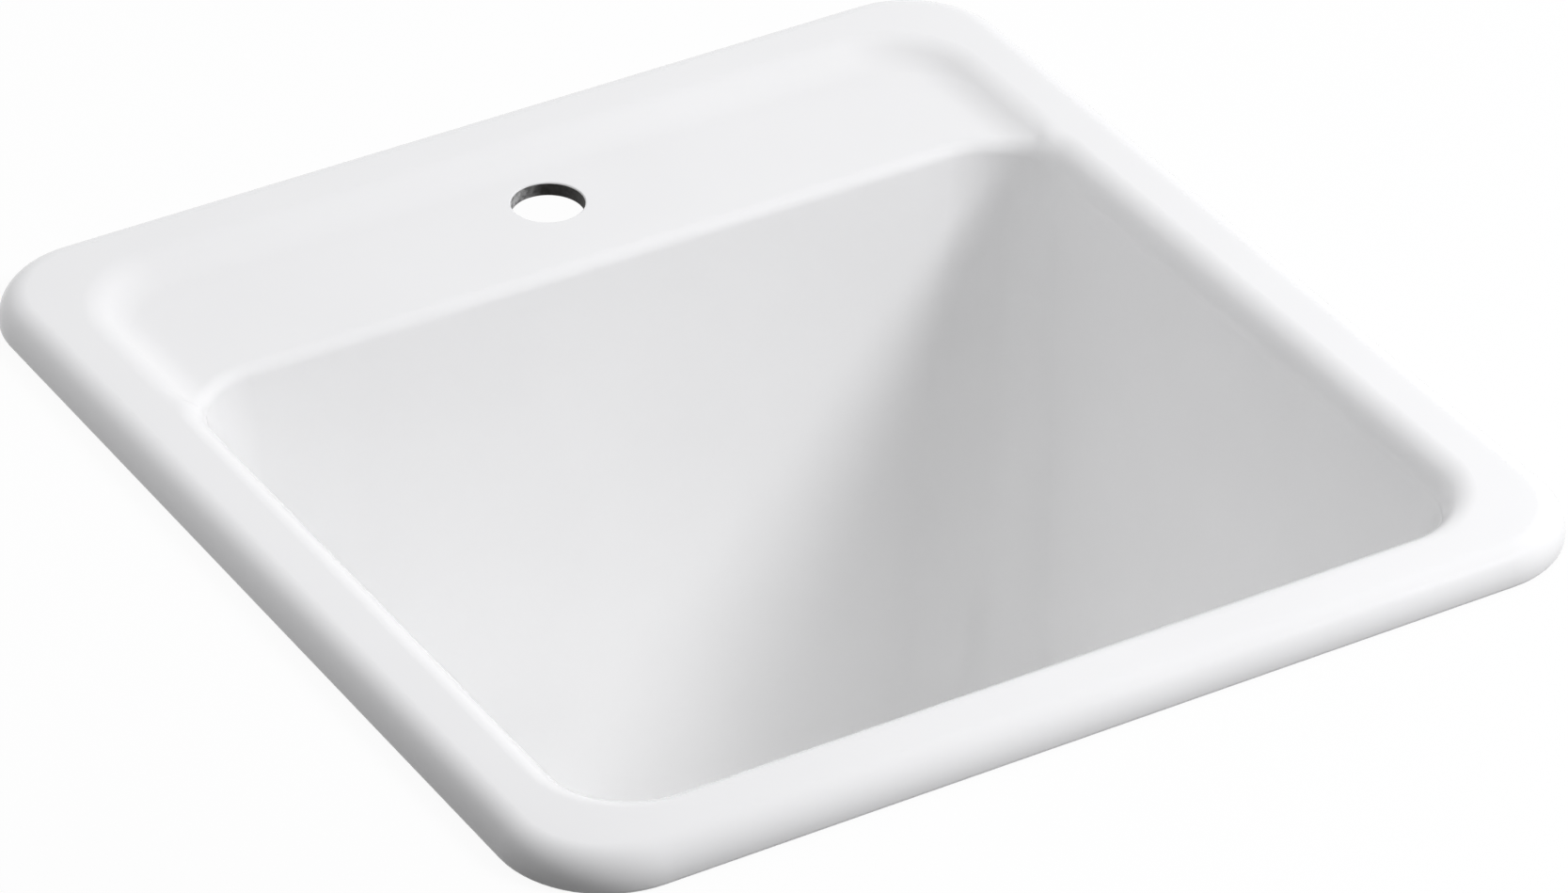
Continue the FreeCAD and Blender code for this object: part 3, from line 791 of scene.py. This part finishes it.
def drill_faucet_hole(casting, sizes):
    """Drills the deck, rounds the hole's glazed top edge and its bare foot."""
    deck = sizes.rim_height - sizes.deck_drop
    middle = Vector((0, sizes.rim_depth / 2 - sizes.hole_setback, deck - sizes.iron_wall / 2))
    bpy.ops.mesh.primitive_cylinder_add(
        vertices=TURN_STEPS, radius=sizes.hole_radius, depth=2 * sizes.iron_wall, location=middle,
    )
    drill = added("drill")
    drill.data.materials.append(None)
    drill.data.materials.append(None)
    for face in drill.data.polygons:
        face.material_index = 1
    cut_away(casting, drill)

    def on_hole(place, level):
        out = hypot(place.x, place.y - middle.y)
        return abs(out - sizes.hole_radius) < NEAR and abs(place.z - level) < NEAR

    edges = ((0, deck, sizes.hole_round), (1, deck - sizes.iron_wall, sizes.hole_foot))
    for slot, level, rounding in edges:
        choose_edges(casting, lambda first, second: on_hole(first, level) and on_hole(second, level))
        bpy.ops.mesh.bevel(offset=rounding, segments=4, affect="EDGES", material=slot)
        end_edit()


def rounded_profile(corners):
    """Closed profile from corners: a radius, a height and, where the corner is rounded, its rounding."""
    profile = []
    for index, corner in enumerate(corners):
        here = Vector(corner[:2])
        if len(corner) == 2:
            profile.append(here)
            continue
        rounding = corner[2]
        before = (Vector(corners[index - 1][:2]) - here).normalized()
        after = (Vector(corners[(index + 1) % len(corners)][:2]) - here).normalized()
        opening = before.angle(after)
        reach = rounding / tan(opening / 2)
        centre = here + (before + after).normalized() * rounding / sin(opening / 2)
        first, last = here + before * reach - centre, here + after * reach - centre
        sweep = first.angle(last)
        for step in range(CORNER_STEPS + 1):
            share = step / CORNER_STEPS
            ray = (first * sin((1 - share) * sweep) + last * sin(share * sweep)) / sin(sweep)
            profile.append(centre + ray)
    return profile


def turned_piece(name, corners, steps=TURN_STEPS):
    """A profile spun about the drain's axis into a closed piece."""
    profile = rounded_profile(corners)
    bpy.ops.mesh.primitive_circle_add(vertices=len(profile), radius=0.01, fill_type="NOTHING")
    piece = added(name)
    for vertex, corner in zip(piece.data.vertices, profile):
        vertex.co = (corner.x, DRAIN_Y, corner.y)
    start_edit(piece)
    bpy.ops.mesh.spin(steps=steps, angle=2 * pi, center=(0, DRAIN_Y, 0), axis=UP)
    bpy.ops.mesh.select_all(action="SELECT")
    bpy.ops.mesh.remove_doubles(threshold=MERGE)
    bpy.ops.mesh.dissolve_degenerate(threshold=SLIVER)
    end_edit_outward()
    return piece


def fit_turned(name, node, body, slot_name, material, angle, corners, steps=TURN_STEPS):
    """Turns a piece and seats it in the place of its node."""
    seat_piece(turned_piece(name, corners, steps), angle, body, slot_name, material, node)


def drills(radius, depth, places):
    """Cylinders to drill with, joined in one mesh; each place is a middle and a direction."""
    made = []
    for middle, direction in places:
        turn = UP.rotation_difference(direction).to_euler()
        bpy.ops.mesh.primitive_cylinder_add(
            vertices=DRILL_STEPS, radius=radius, depth=depth, location=middle, rotation=turn,
        )
        made.append(added("drill"))
    make_active(made[0])
    for drill in made[1:]:
        drill.select_set(True)
    if len(made) > 1:
        bpy.ops.object.join()
    settle(made[0])
    return made[0]


def circle_of(count, radius, height, start=0.0):
    """Places round the drain's axis with their outward directions."""
    places = []
    for index in range(count):
        angle = start + 2 * pi * index / count
        ray = Vector((cos(angle), sin(angle), 0))
        places.append((Vector((0, DRAIN_Y, height)) + radius * ray, ray))
    return places


def upright_circle(count, radius, height):
    """Places round the drain's axis that all point up."""
    return [(place, UP) for place, _ in circle_of(count, radius, height)]


def add_thread(piece, radius, low, high, sizes):
    """Winds a thread ridge round the piece and joins it on."""
    depth, pitch = sizes.thread_depth, sizes.thread_pitch
    root, flank = radius - THREAD_ROOT_SHARE * depth, THREAD_FLANK_SHARE * pitch
    turns = int((high - low - pitch) / pitch)
    bpy.ops.mesh.primitive_circle_add(vertices=3, radius=0.001, fill_type="NOTHING")
    ridge = added("thread")
    corners = ((root, -flank), (radius + depth, 0.0), (root, flank))
    for vertex, (out, rise) in zip(ridge.data.vertices, corners):
        vertex.co = (out, 0, rise)
    apply_modifier(
        ridge, "SCREW", axis="Z", angle=2 * pi, screw_offset=pitch, iterations=turns,
        steps=THREAD_STEPS, render_steps=THREAD_STEPS, use_normal_calculate=True,
    )
    ridge.location = (0, DRAIN_Y, low + pitch / 2)
    settle(ridge)
    start_edit(ridge)
    bpy.ops.mesh.remove_doubles(threshold=MERGE)
    bpy.ops.mesh.fill_holes(sides=3)
    end_edit_outward()
    make_active(piece)
    ridge.select_set(True)
    bpy.ops.object.join()


def on_patch(face, count, half_angle, least_radius):
    """Whether an upright face lies in one of several equal patches round the drain's axis."""
    place = Vector((face.center.x, face.center.y - DRAIN_Y))
    pitch = 2 * pi / count
    angle = place.angle_signed(Vector((1, 0)), 0.0) % pitch
    in_patch = min(angle, pitch - angle) < half_angle
    return in_patch and place.length > least_radius and abs(face.normal.z) < UPRIGHT_FACE


class SINK_OT_casting(bpy.types.Operator):
    """Model the enamelled iron casting: rolled rim, recessed faucet deck and tapered bowl"""
    bl_idname = "laundry_sink.casting"
    bl_label = "Iron casting"
    bl_options = {"REGISTER", "UNDO"}

    def execute(self, context):
        sizes, colours = context.scene.sink_casting, context.scene.sink_finishes
        casting = shape_casting(sizes)
        casting.data.materials.append(enamel_finish(colours))
        casting.data.materials.append(iron_finish(colours))
        drill_faucet_hole(casting, sizes)
        even_shading(casting, 40)
        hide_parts("sink_casting")
        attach(casting, "sink")
        return {"FINISHED"}


class SINK_OT_strainer(bpy.types.Operator):
    """Model the strainer's flanged cup, threaded and drilled, and the putty under its flange"""
    bl_idname = "laundry_sink.strainer"
    bl_label = "Strainer body"
    bl_options = {"REGISTER", "UNDO"}

    def execute(self, context):
        sizes, colours = context.scene.sink_strainer, context.scene.sink_finishes
        top, bottom, flange = BODY_HIGH.z, BODY_LOW.z, BODY_HIGH.x
        under = top - sizes.flange_thickness
        floor = top - sizes.cup_depth
        below = floor - sizes.cup_wall
        outer = sizes.cup_radius - sizes.thread_depth
        inner = sizes.cup_radius - sizes.cup_wall
        ledge = top - sizes.ledge_depth
        neck = sizes.neck_radius - sizes.thread_depth
        neck_end = 0.0005
        body = turned_piece("strainer_cup", [
            (POST_HOLE, below), (sizes.neck_bore, below, 0.0006), (sizes.neck_bore, bottom, neck_end),
            (neck, bottom, neck_end), (neck, below, 0.0015), (outer, below, 0.005), (outer, under, 0.0008),
            (flange, under, 0.0006), (flange, top, 0.0012), (sizes.ledge_radius, top, 0.0005),
            (sizes.ledge_radius, ledge, 0.0003), (inner, ledge, 0.0005), (inner, floor, 0.0036),
            (POST_HOLE, floor),
        ], 128)
        holes = upright_circle(CUP_HOLES, sizes.cup_circle, floor - sizes.cup_wall / 2)
        cut_away(body, drills(sizes.cup_hole, 3 * sizes.cup_wall, holes))
        add_thread(body, outer, below + THREAD_START, CASTING_LOW.z, sizes)
        add_thread(body, neck, bottom + neck_end, below - THREAD_END, sizes)
        seat_piece(body, 35, "sink", "stainless", steel_finish(colours), "strainer_body")

        low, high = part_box("putty_bed")
        bore, recess = context.scene.sink_casting.bore_radius, context.scene.sink_casting.recess_radius
        outside = high.x + min(PUTTY_SQUEEZE, recess - high.x - PUTTY_PLAY)
        inside, crest = high.x + PUTTY_GAP, high.z + PUTTY_RISE
        bed = turned_piece("putty_squeeze", [
            (bore, low.z), (outside, low.z), (outside, crest, 0.0005), (inside, crest),
            (inside, high.z), (bore, high.z),
        ], 160)
        for vertex in bed.data.vertices:
            ray = Vector((vertex.co.x, vertex.co.y - DRAIN_Y, 0))
            if ray.length > high.x and vertex.co.z > high.z:
                vertex.co.z -= PUTTY_RIPPLE * (1 + sin(ray.x / RIPPLE_ACROSS) * cos(ray.y / RIPPLE_ALONG))
        seat_piece(bed, 50, "sink", "putty", putty_finish(colours), "putty_bed")
        return {"FINISHED"}


class SINK_OT_clamp(bpy.types.Operator):
    """Model what clamps the strainer under the sink: gasket, friction ring and lugged lock nut"""
    bl_idname = "laundry_sink.clamp"
    bl_label = "Clamping stack"
    bl_options = {"REGISTER", "UNDO"}

    def execute(self, context):
        sizes, colours = context.scene.sink_strainer, context.scene.sink_finishes
        bore = sizes.cup_radius + THREAD_GAP

        low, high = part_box("body_gasket")
        side = high.x - GASKET_BULGE
        fit_turned("rubber_gasket", "body_gasket", "sink", "black_rubber", rubber_finish(colours), 50, [
            (bore, low.z), (side, low.z, 0.0006), (high.x, (low.z + high.z) / 2, 0.003),
            (side, high.z, 0.0006), (bore, high.z),
        ])

        low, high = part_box("friction_ring")
        fit_turned("fibre_ring", "friction_ring", "sink", "fibre", fibre_finish(colours), 50, [
            (bore, low.z), (high.x, low.z, 0.0003), (high.x, high.z, 0.0003), (bore, high.z),
        ])

        low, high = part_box("locknut")
        radius = high.x - LUG_REACH
        nut = turned_piece("lock_nut", [
            (bore, low.z), (radius, low.z), (radius, high.z), (bore, high.z),
        ], 72)
        choose_faces(nut, lambda face: on_patch(face, LUG_COUNT, LUG_HALF_ANGLE, LUG_FACE_SHARE * radius))
        bpy.ops.mesh.extrude_region_shrink_fatten(TRANSFORM_OT_shrink_fatten={"value": LUG_REACH})
        end_edit()
        soften(nut, width=0.0011, segments=3, angle=40)
        seat_piece(nut, 40, "sink", "cast_brass", brass_finish(colours), "locknut")
        return {"FINISHED"}


class SINK_OT_outlet(bpy.types.Operator):
    """Model the outlet: tail washer, coupling nut with grip flats and flanged tube"""
    bl_idname = "laundry_sink.outlet"
    bl_label = "Outlet"
    bl_options = {"REGISTER", "UNDO"}

    def execute(self, context):
        sizes, colours = context.scene.sink_strainer, context.scene.sink_finishes
        tube_bore, tube = sizes.tail_radius - sizes.tail_wall, sizes.tail_radius

        low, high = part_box("tailpiece_washer")
        flange, seat = high.x, low.z - TAIL_FLANGE
        fit_turned("tail_washer", "tailpiece_washer", "sink", "white_plastic", plastic_finish(colours), 50, [
            (tube_bore, low.z, 0.0002), (flange, low.z, 0.0003), (flange, high.z, 0.0003),
            (tube_bore, high.z, 0.0002),
        ])

        low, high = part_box("tailpiece")
        plating = plated_finish("plated_tube", colours)
        fit_turned("outlet_tube", "tailpiece", "sink", "plated_tube", plating, 40, [
            (tube_bore, low.z, 0.0004), (tube, low.z, 0.0005), (tube, seat, 0.001), (flange, seat, 0.0005),
            (flange, high.z, 0.0005), (tube_bore, high.z, 0.0006),
        ], 128)

        low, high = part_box("coupling_nut")
        outer, thread, passage = high.x, sizes.neck_radius + THREAD_GAP, tube + TAIL_GAP
        grip_low, grip_radius = low.z + GRIP_START, GRIP_FACE_SHARE * outer
        nut = turned_piece("coupling_ring", [
            (passage, low.z, 0.0005), (outer, low.z, 0.0024), (outer, grip_low), (outer, high.z, 0.0006),
            (thread, high.z, 0.0005), (thread, seat), (passage, seat),
        ])

        def on_grip(face):
            return face.center.z > grip_low and on_patch(face, GRIP_COUNT, GRIP_HALF_ANGLE, grip_radius)

        choose_faces(nut, on_grip)
        bpy.ops.mesh.inset(thickness=GRIP_MARGIN, depth=-GRIP_DEPTH)
        end_edit()
        soften(nut, width=0.0004, segments=2, angle=40)
        seat_piece(nut, 40, "sink", "plated_nut", plated_finish("plated_nut", colours), "coupling_nut")
        return {"FINISHED"}


class SINK_OT_basket(bpy.types.Operator):
    """Model the lift-out basket with its drilled floor and side, and the bush in its floor"""
    bl_idname = "laundry_sink.basket"
    bl_label = "Basket"
    bl_options = {"REGISTER", "UNDO"}

    def execute(self, context):
        sizes, colours = context.scene.sink_strainer, context.scene.sink_finishes
        low, high, wall = BASKET_LOW, BASKET_HIGH, sizes.basket_wall
        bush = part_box("hub_bush")[1].x - BUSH_COLLAR
        under = high.z - wall
        cup = turned_piece("basket_shell", [
            (bush, low.z), (sizes.basket_foot, low.z, 0.006), (sizes.basket_radius, under, 0.001),
            (high.x, under, 0.0003), (high.x, high.z, 0.0004), (sizes.basket_radius - wall, high.z, 0.0016),
            (sizes.basket_foot - wall, low.z + wall, 0.005), (bush, low.z + wall),
        ], 144)
        floor_places = []
        for radius, count in BASKET_FLOOR_RINGS:
            floor_places += upright_circle(count, radius, low.z + wall / 2)
        cut_away(cup, drills(sizes.basket_hole, 4 * wall, floor_places))
        side_places = []
        side = sizes.basket_foot + BASKET_SIDE_REACH
        for row, level in enumerate(BASKET_SIDE_LEVELS):
            stagger = row * pi / BASKET_SIDE_HOLES
            side_places += circle_of(BASKET_SIDE_HOLES, side, low.z + level, stagger)
        cut_away(cup, drills(sizes.basket_hole, SIDE_DRILL, side_places))
        seat_piece(cup, 35, "basket", "stainless", steel_finish(colours), "basket_cup")

        low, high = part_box("hub_bush")
        collar = high.z - BUSH_COLLAR_HEIGHT
        fit_turned("guide_bush", "hub_bush", "basket", "white_plastic", plastic_finish(colours), 40, [
            (BUSH_BORE, low.z, 0.0003), (bush, low.z, 0.0008), (bush, collar), (high.x, collar, 0.0002),
            (high.x, high.z, 0.0006), (BUSH_BORE, high.z, 0.0004),
        ], 64)
        return {"FINISHED"}


class SINK_OT_stopper(bpy.types.Operator):
    """Model the stopper: rod, finger knob, soft disc, washer and nut"""
    bl_idname = "laundry_sink.stopper"
    bl_label = "Stopper"
    bl_options = {"REGISTER", "UNDO"}

    def execute(self, context):
        colours = context.scene.sink_finishes
        steel = steel_finish(colours)
        low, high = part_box("stem_post")
        rod = high.x
        fit_turned("stopper_rod", "stem_post", "stopper", "stainless", steel, 40, [
            (0.0, low.z), (rod, low.z, 0.0008), (rod, high.z, 0.0004), (0.0, high.z),
        ], 48)

        low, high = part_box("stem_knob")
        tall, head, socket = high.z - low.z, high.x, (low.z + high.z) / 2
        plating = plated_finish("plated_knob", colours)
        fit_turned("finger_knob", "stem_knob", "stopper", "plated_tube", plating, 50, [
            (rod, low.z), (KNOB_NECK, low.z, 0.0006), (KNOB_NECK, low.z + tall / 4, 0.0025),
            (head, low.z + tall * 5 / 8, 0.0012), (head, low.z + tall * 3 / 4, 0.0022),
            (head * 3 / 4, high.z, 0.003), (0.0, high.z), (0.0, socket), (rod, socket),
        ])

        low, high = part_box("stopper_disc")
        shoulder = high.x - 2 * (high.z - low.z)
        fit_turned("rubber_disc", "stopper_disc", "stopper", "black_rubber", rubber_finish(colours), 50, [
            (rod, low.z), (high.x, low.z, 0.0006), (high.x, low.z + DISC_EDGE, 0.0007),
            (shoulder, high.z, 0.004), (rod, high.z),
        ])

        low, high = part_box("stopper_washer")
        fit_turned("backing_washer", "stopper_washer", "stopper", "stainless", steel, 40, [
            (rod, low.z), (high.x, low.z, 0.0003), (high.x, high.z, 0.0004), (rod, high.z),
        ])

        low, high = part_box("stopper_nut")
        middle = Vector((0, DRAIN_Y, (low.z + high.z) / 2))
        bpy.ops.mesh.primitive_cylinder_add(
            vertices=6, radius=high.x, depth=high.z - low.z, location=middle, rotation=(0, 0, radians(30)),
        )
        nut = added("hexagon_nut")
        settle(nut)
        cut_away(nut, drills(rod, NUT_DRILL, [(Vector((0, DRAIN_Y, low.z)), UP)]))
        soften(nut, width=0.0004, segments=2, angle=50)
        seat_piece(nut, 35, "stopper", "stainless", steel, "stopper_nut")
        return {"FINISHED"}


def seen_directly(tree):
    """1 for what the camera, gloss and glass see, 0 for light that a surface sends on."""
    rays = tree.nodes.new("ShaderNodeLightPath").outputs
    kinds = ("Is Camera Ray", "Is Glossy Ray", "Is Transmission Ray")
    return combined(tree, "MAXIMUM", *(rays[kind] for kind in kinds))


def pale_stage_finish(name):
    """Laminate that looks white, keeps a faint shadow and sends little light back up at the rim."""
    material = bpy.data.materials.new(name)
    material.use_nodes = True
    tree = material.node_tree
    tree.nodes.remove(tree.nodes["Principled BSDF"])
    seen = seen_directly(tree)
    shade = between(tree, seen, STAGE_BOUNCE, STAGE_WHITE, 0, 1)
    matt = add_node(tree, "ShaderNodeBsdfDiffuse", {"Color": shade})
    glow = tree.nodes.new("ShaderNodeEmission")
    share = between(tree, seen, 0.0, STAGE_GLOW, 0, 1)
    mix = add_node(tree, "ShaderNodeMixShader", {
        "Fac": share, 1: matt.outputs["BSDF"], 2: glow.outputs["Emission"],
    })
    tree.links.new(mix.outputs["Shader"], tree.nodes["Material Output"].inputs["Surface"])
    return material


def add_panel(settings):
    """The counter panel with its cut-out for the sink."""
    width, depth, reach = settings.cutout_width, settings.cutout_depth, settings.panel_reach
    bpy.ops.mesh.primitive_plane_add(size=1)
    panel = added("counter_panel")
    panel.scale = (width + 2 * reach, depth + 2 * reach, 1)
    settle(panel)
    start_edit(panel)
    bpy.ops.mesh.inset(thickness=reach)
    bpy.ops.mesh.delete(type="FACE")
    end_edit()
    apply_modifier(panel, "SOLIDIFY", thickness=settings.panel_thickness, offset=-1)

    def at_cutout_corner(first, second):
        upright = (first - second).xy.length < NEAR
        return upright and abs(abs(first.x) - width / 2) < 1e-4

    choose_edges(panel, at_cutout_corner)
    bpy.ops.mesh.bevel(offset=settings.cutout_corner, segments=12, affect="EDGES")
    end_edit()
    panel.data.materials.append(pale_stage_finish("counter_laminate"))
    panel.visible_shadow = False


def add_floor(settings):
    """The floor below the counter."""
    bpy.ops.mesh.primitive_plane_add(size=settings.floor_size, location=(0, 0, -settings.floor_drop))
    floor = added("studio_floor")
    settle(floor)
    floor.data.materials.append(pale_stage_finish("studio_floor"))


def add_flag():
    """An unseen black card that keeps light off the outside of the rim's front left corner."""
    bpy.ops.mesh.primitive_plane_add(size=1, location=FLAG_PLACE, rotation=FLAG_TURN)
    flag = added("black_flag")
    flag.scale = FLAG_SCALE
    settle(flag)
    cloth, tree, shader, place = finish("black_cloth")
    weave = tint(tree, mottle(tree, place, 900.0), (0.008, 0.008, 0.008), (0.02, 0.02, 0.02))
    tree.links.new(weave, shader.inputs["Base Color"])
    shader.inputs["Roughness"].default_value = 1.0
    flag.data.materials.append(cloth)
    flag.visible_camera = False
    flag.visible_glossy = False
    flag.visible_transmission = False


def light_world(scene, settings):
    """Soft light from all round, weaker from the left; whatever sees the world directly sees white."""
    scene.world = bpy.data.worlds.new("studio")
    scene.world.use_nodes = True
    tree = scene.world.node_tree
    sky = tree.nodes.new("ShaderNodeTexCoord").outputs["Generated"]
    side = add_node(tree, "ShaderNodeVectorMath", {0: sky, 1: BRIGHT_SIDE}, operation="DOT_PRODUCT")
    even = tree.nodes["Background"]
    even.inputs["Color"].default_value = (*settings.light_tint, 1)
    strength = between(
        tree, side.outputs["Value"], settings.ambient_left, settings.ambient, DIM_AT, BRIGHT_AT,
    )
    tree.links.new(strength, even.inputs["Strength"])
    white = add_node(tree, "ShaderNodeBackground", {"Color": (1, 1, 1, 1)})
    mix = add_node(tree, "ShaderNodeMixShader", {
        "Fac": seen_directly(tree), 1: even.outputs["Background"], 2: white.outputs["Background"],
    })
    tree.links.new(mix.outputs["Shader"], tree.nodes["World Output"].inputs["Surface"])


def add_lamp(name, place, size, power):
    """A round soft lamp that shines straight down."""
    bpy.ops.object.light_add(type="AREA", location=place)
    lamp = bpy.context.object
    lamp.name = name
    lamp.data.shape = "DISK"
    lamp.data.size = size
    lamp.data.energy = power
    return lamp


def add_camera(scene, settings):
    """The camera at the photograph's place, aimed at its target and rolled a little."""
    azimuth, elevation, roll = CAMERA_AZIMUTH, CAMERA_ELEVATION, CAMERA_ROLL
    back = Vector((sin(azimuth) * cos(elevation), -cos(azimuth) * cos(elevation), sin(elevation)))
    right = Vector((cos(azimuth), sin(azimuth), 0))
    upright = back.cross(right)
    across = right * cos(roll) + upright * sin(roll)
    upward = upright * cos(roll) - right * sin(roll)
    turn = Matrix((across, upward, back)).transposed().to_4x4()
    bpy.ops.object.camera_add()
    camera = bpy.context.object
    camera.name = "photograph_camera"
    camera.matrix_world = Matrix.Translation(CAMERA_TARGET + back * CAMERA_DISTANCE) @ turn
    camera.data.lens = settings.lens
    camera.data.sensor_fit = "HORIZONTAL"
    camera.data.sensor_width = SENSOR_WIDTH
    camera.data.clip_end = CLIP_END
    scene.camera = camera


class SINK_OT_stage(bpy.types.Operator):
    """Set up the counter panel with its cut-out, the floor, the soft light and the camera"""
    bl_idname = "laundry_sink.stage"
    bl_label = "Stage"
    bl_options = {"REGISTER", "UNDO"}

    def execute(self, context):
        scene, settings = context.scene, context.scene.sink_stage
        add_panel(settings)
        add_floor(settings)
        light_world(scene, settings)
        key = add_lamp("soft_key", KEY_DIRECTION * KEY_DISTANCE, settings.key_size, settings.key_power)
        key.rotation_euler = KEY_DIRECTION.to_track_quat("Z", "Y").to_euler()
        key.data.color = settings.light_tint
        key.visible_glossy = False
        fill = add_lamp("bowl_fill", (0, DRAIN_Y, FILL_HEIGHT), settings.fill_size, settings.fill_power)
        fill.data.spread = FILL_SPREAD
        add_flag()
        add_camera(scene, settings)
        scene.view_settings.view_transform = "Standard"
        return {"FINISHED"}


class SINK_PT_pieces(bpy.types.Panel):
    """The sink's pieces, in the order that they are made"""
    bl_idname = "SINK_PT_pieces"
    bl_label = "Laundry sink"
    bl_space_type = "VIEW_3D"
    bl_region_type = "UI"
    bl_category = "Laundry sink"

    def draw(self, context):
        for operator in PIECES:
            self.layout.operator(operator.bl_idname)


PIECES = (
    SINK_OT_casting, SINK_OT_strainer, SINK_OT_clamp, SINK_OT_outlet, SINK_OT_basket, SINK_OT_stopper,
    SINK_OT_stage,
)
SETTINGS = {
    "sink_casting": CastingSizes, "sink_strainer": StrainerSizes, "sink_finishes": SinkFinishes,
    "sink_stage": StageSettings,
}
CLASSES = (*SETTINGS.values(), *PIECES, SINK_PT_pieces)


def register():
    for kind in CLASSES:
        bpy.utils.register_class(kind)
    for name, group in SETTINGS.items():
        setattr(bpy.types.Scene, name, bpy.props.PointerProperty(type=group))


def unregister():
    for name in SETTINGS:
        delattr(bpy.types.Scene, name)
    for kind in reversed(CLASSES):
        bpy.utils.unregister_class(kind)


def main():
    register()
    bpy.ops.laundry_sink.casting()
    bpy.ops.laundry_sink.strainer()
    bpy.ops.laundry_sink.clamp()
    bpy.ops.laundry_sink.outlet()
    bpy.ops.laundry_sink.basket()
    bpy.ops.laundry_sink.stopper()
    bpy.ops.laundry_sink.stage()


if __name__ == "__main__":
    main()
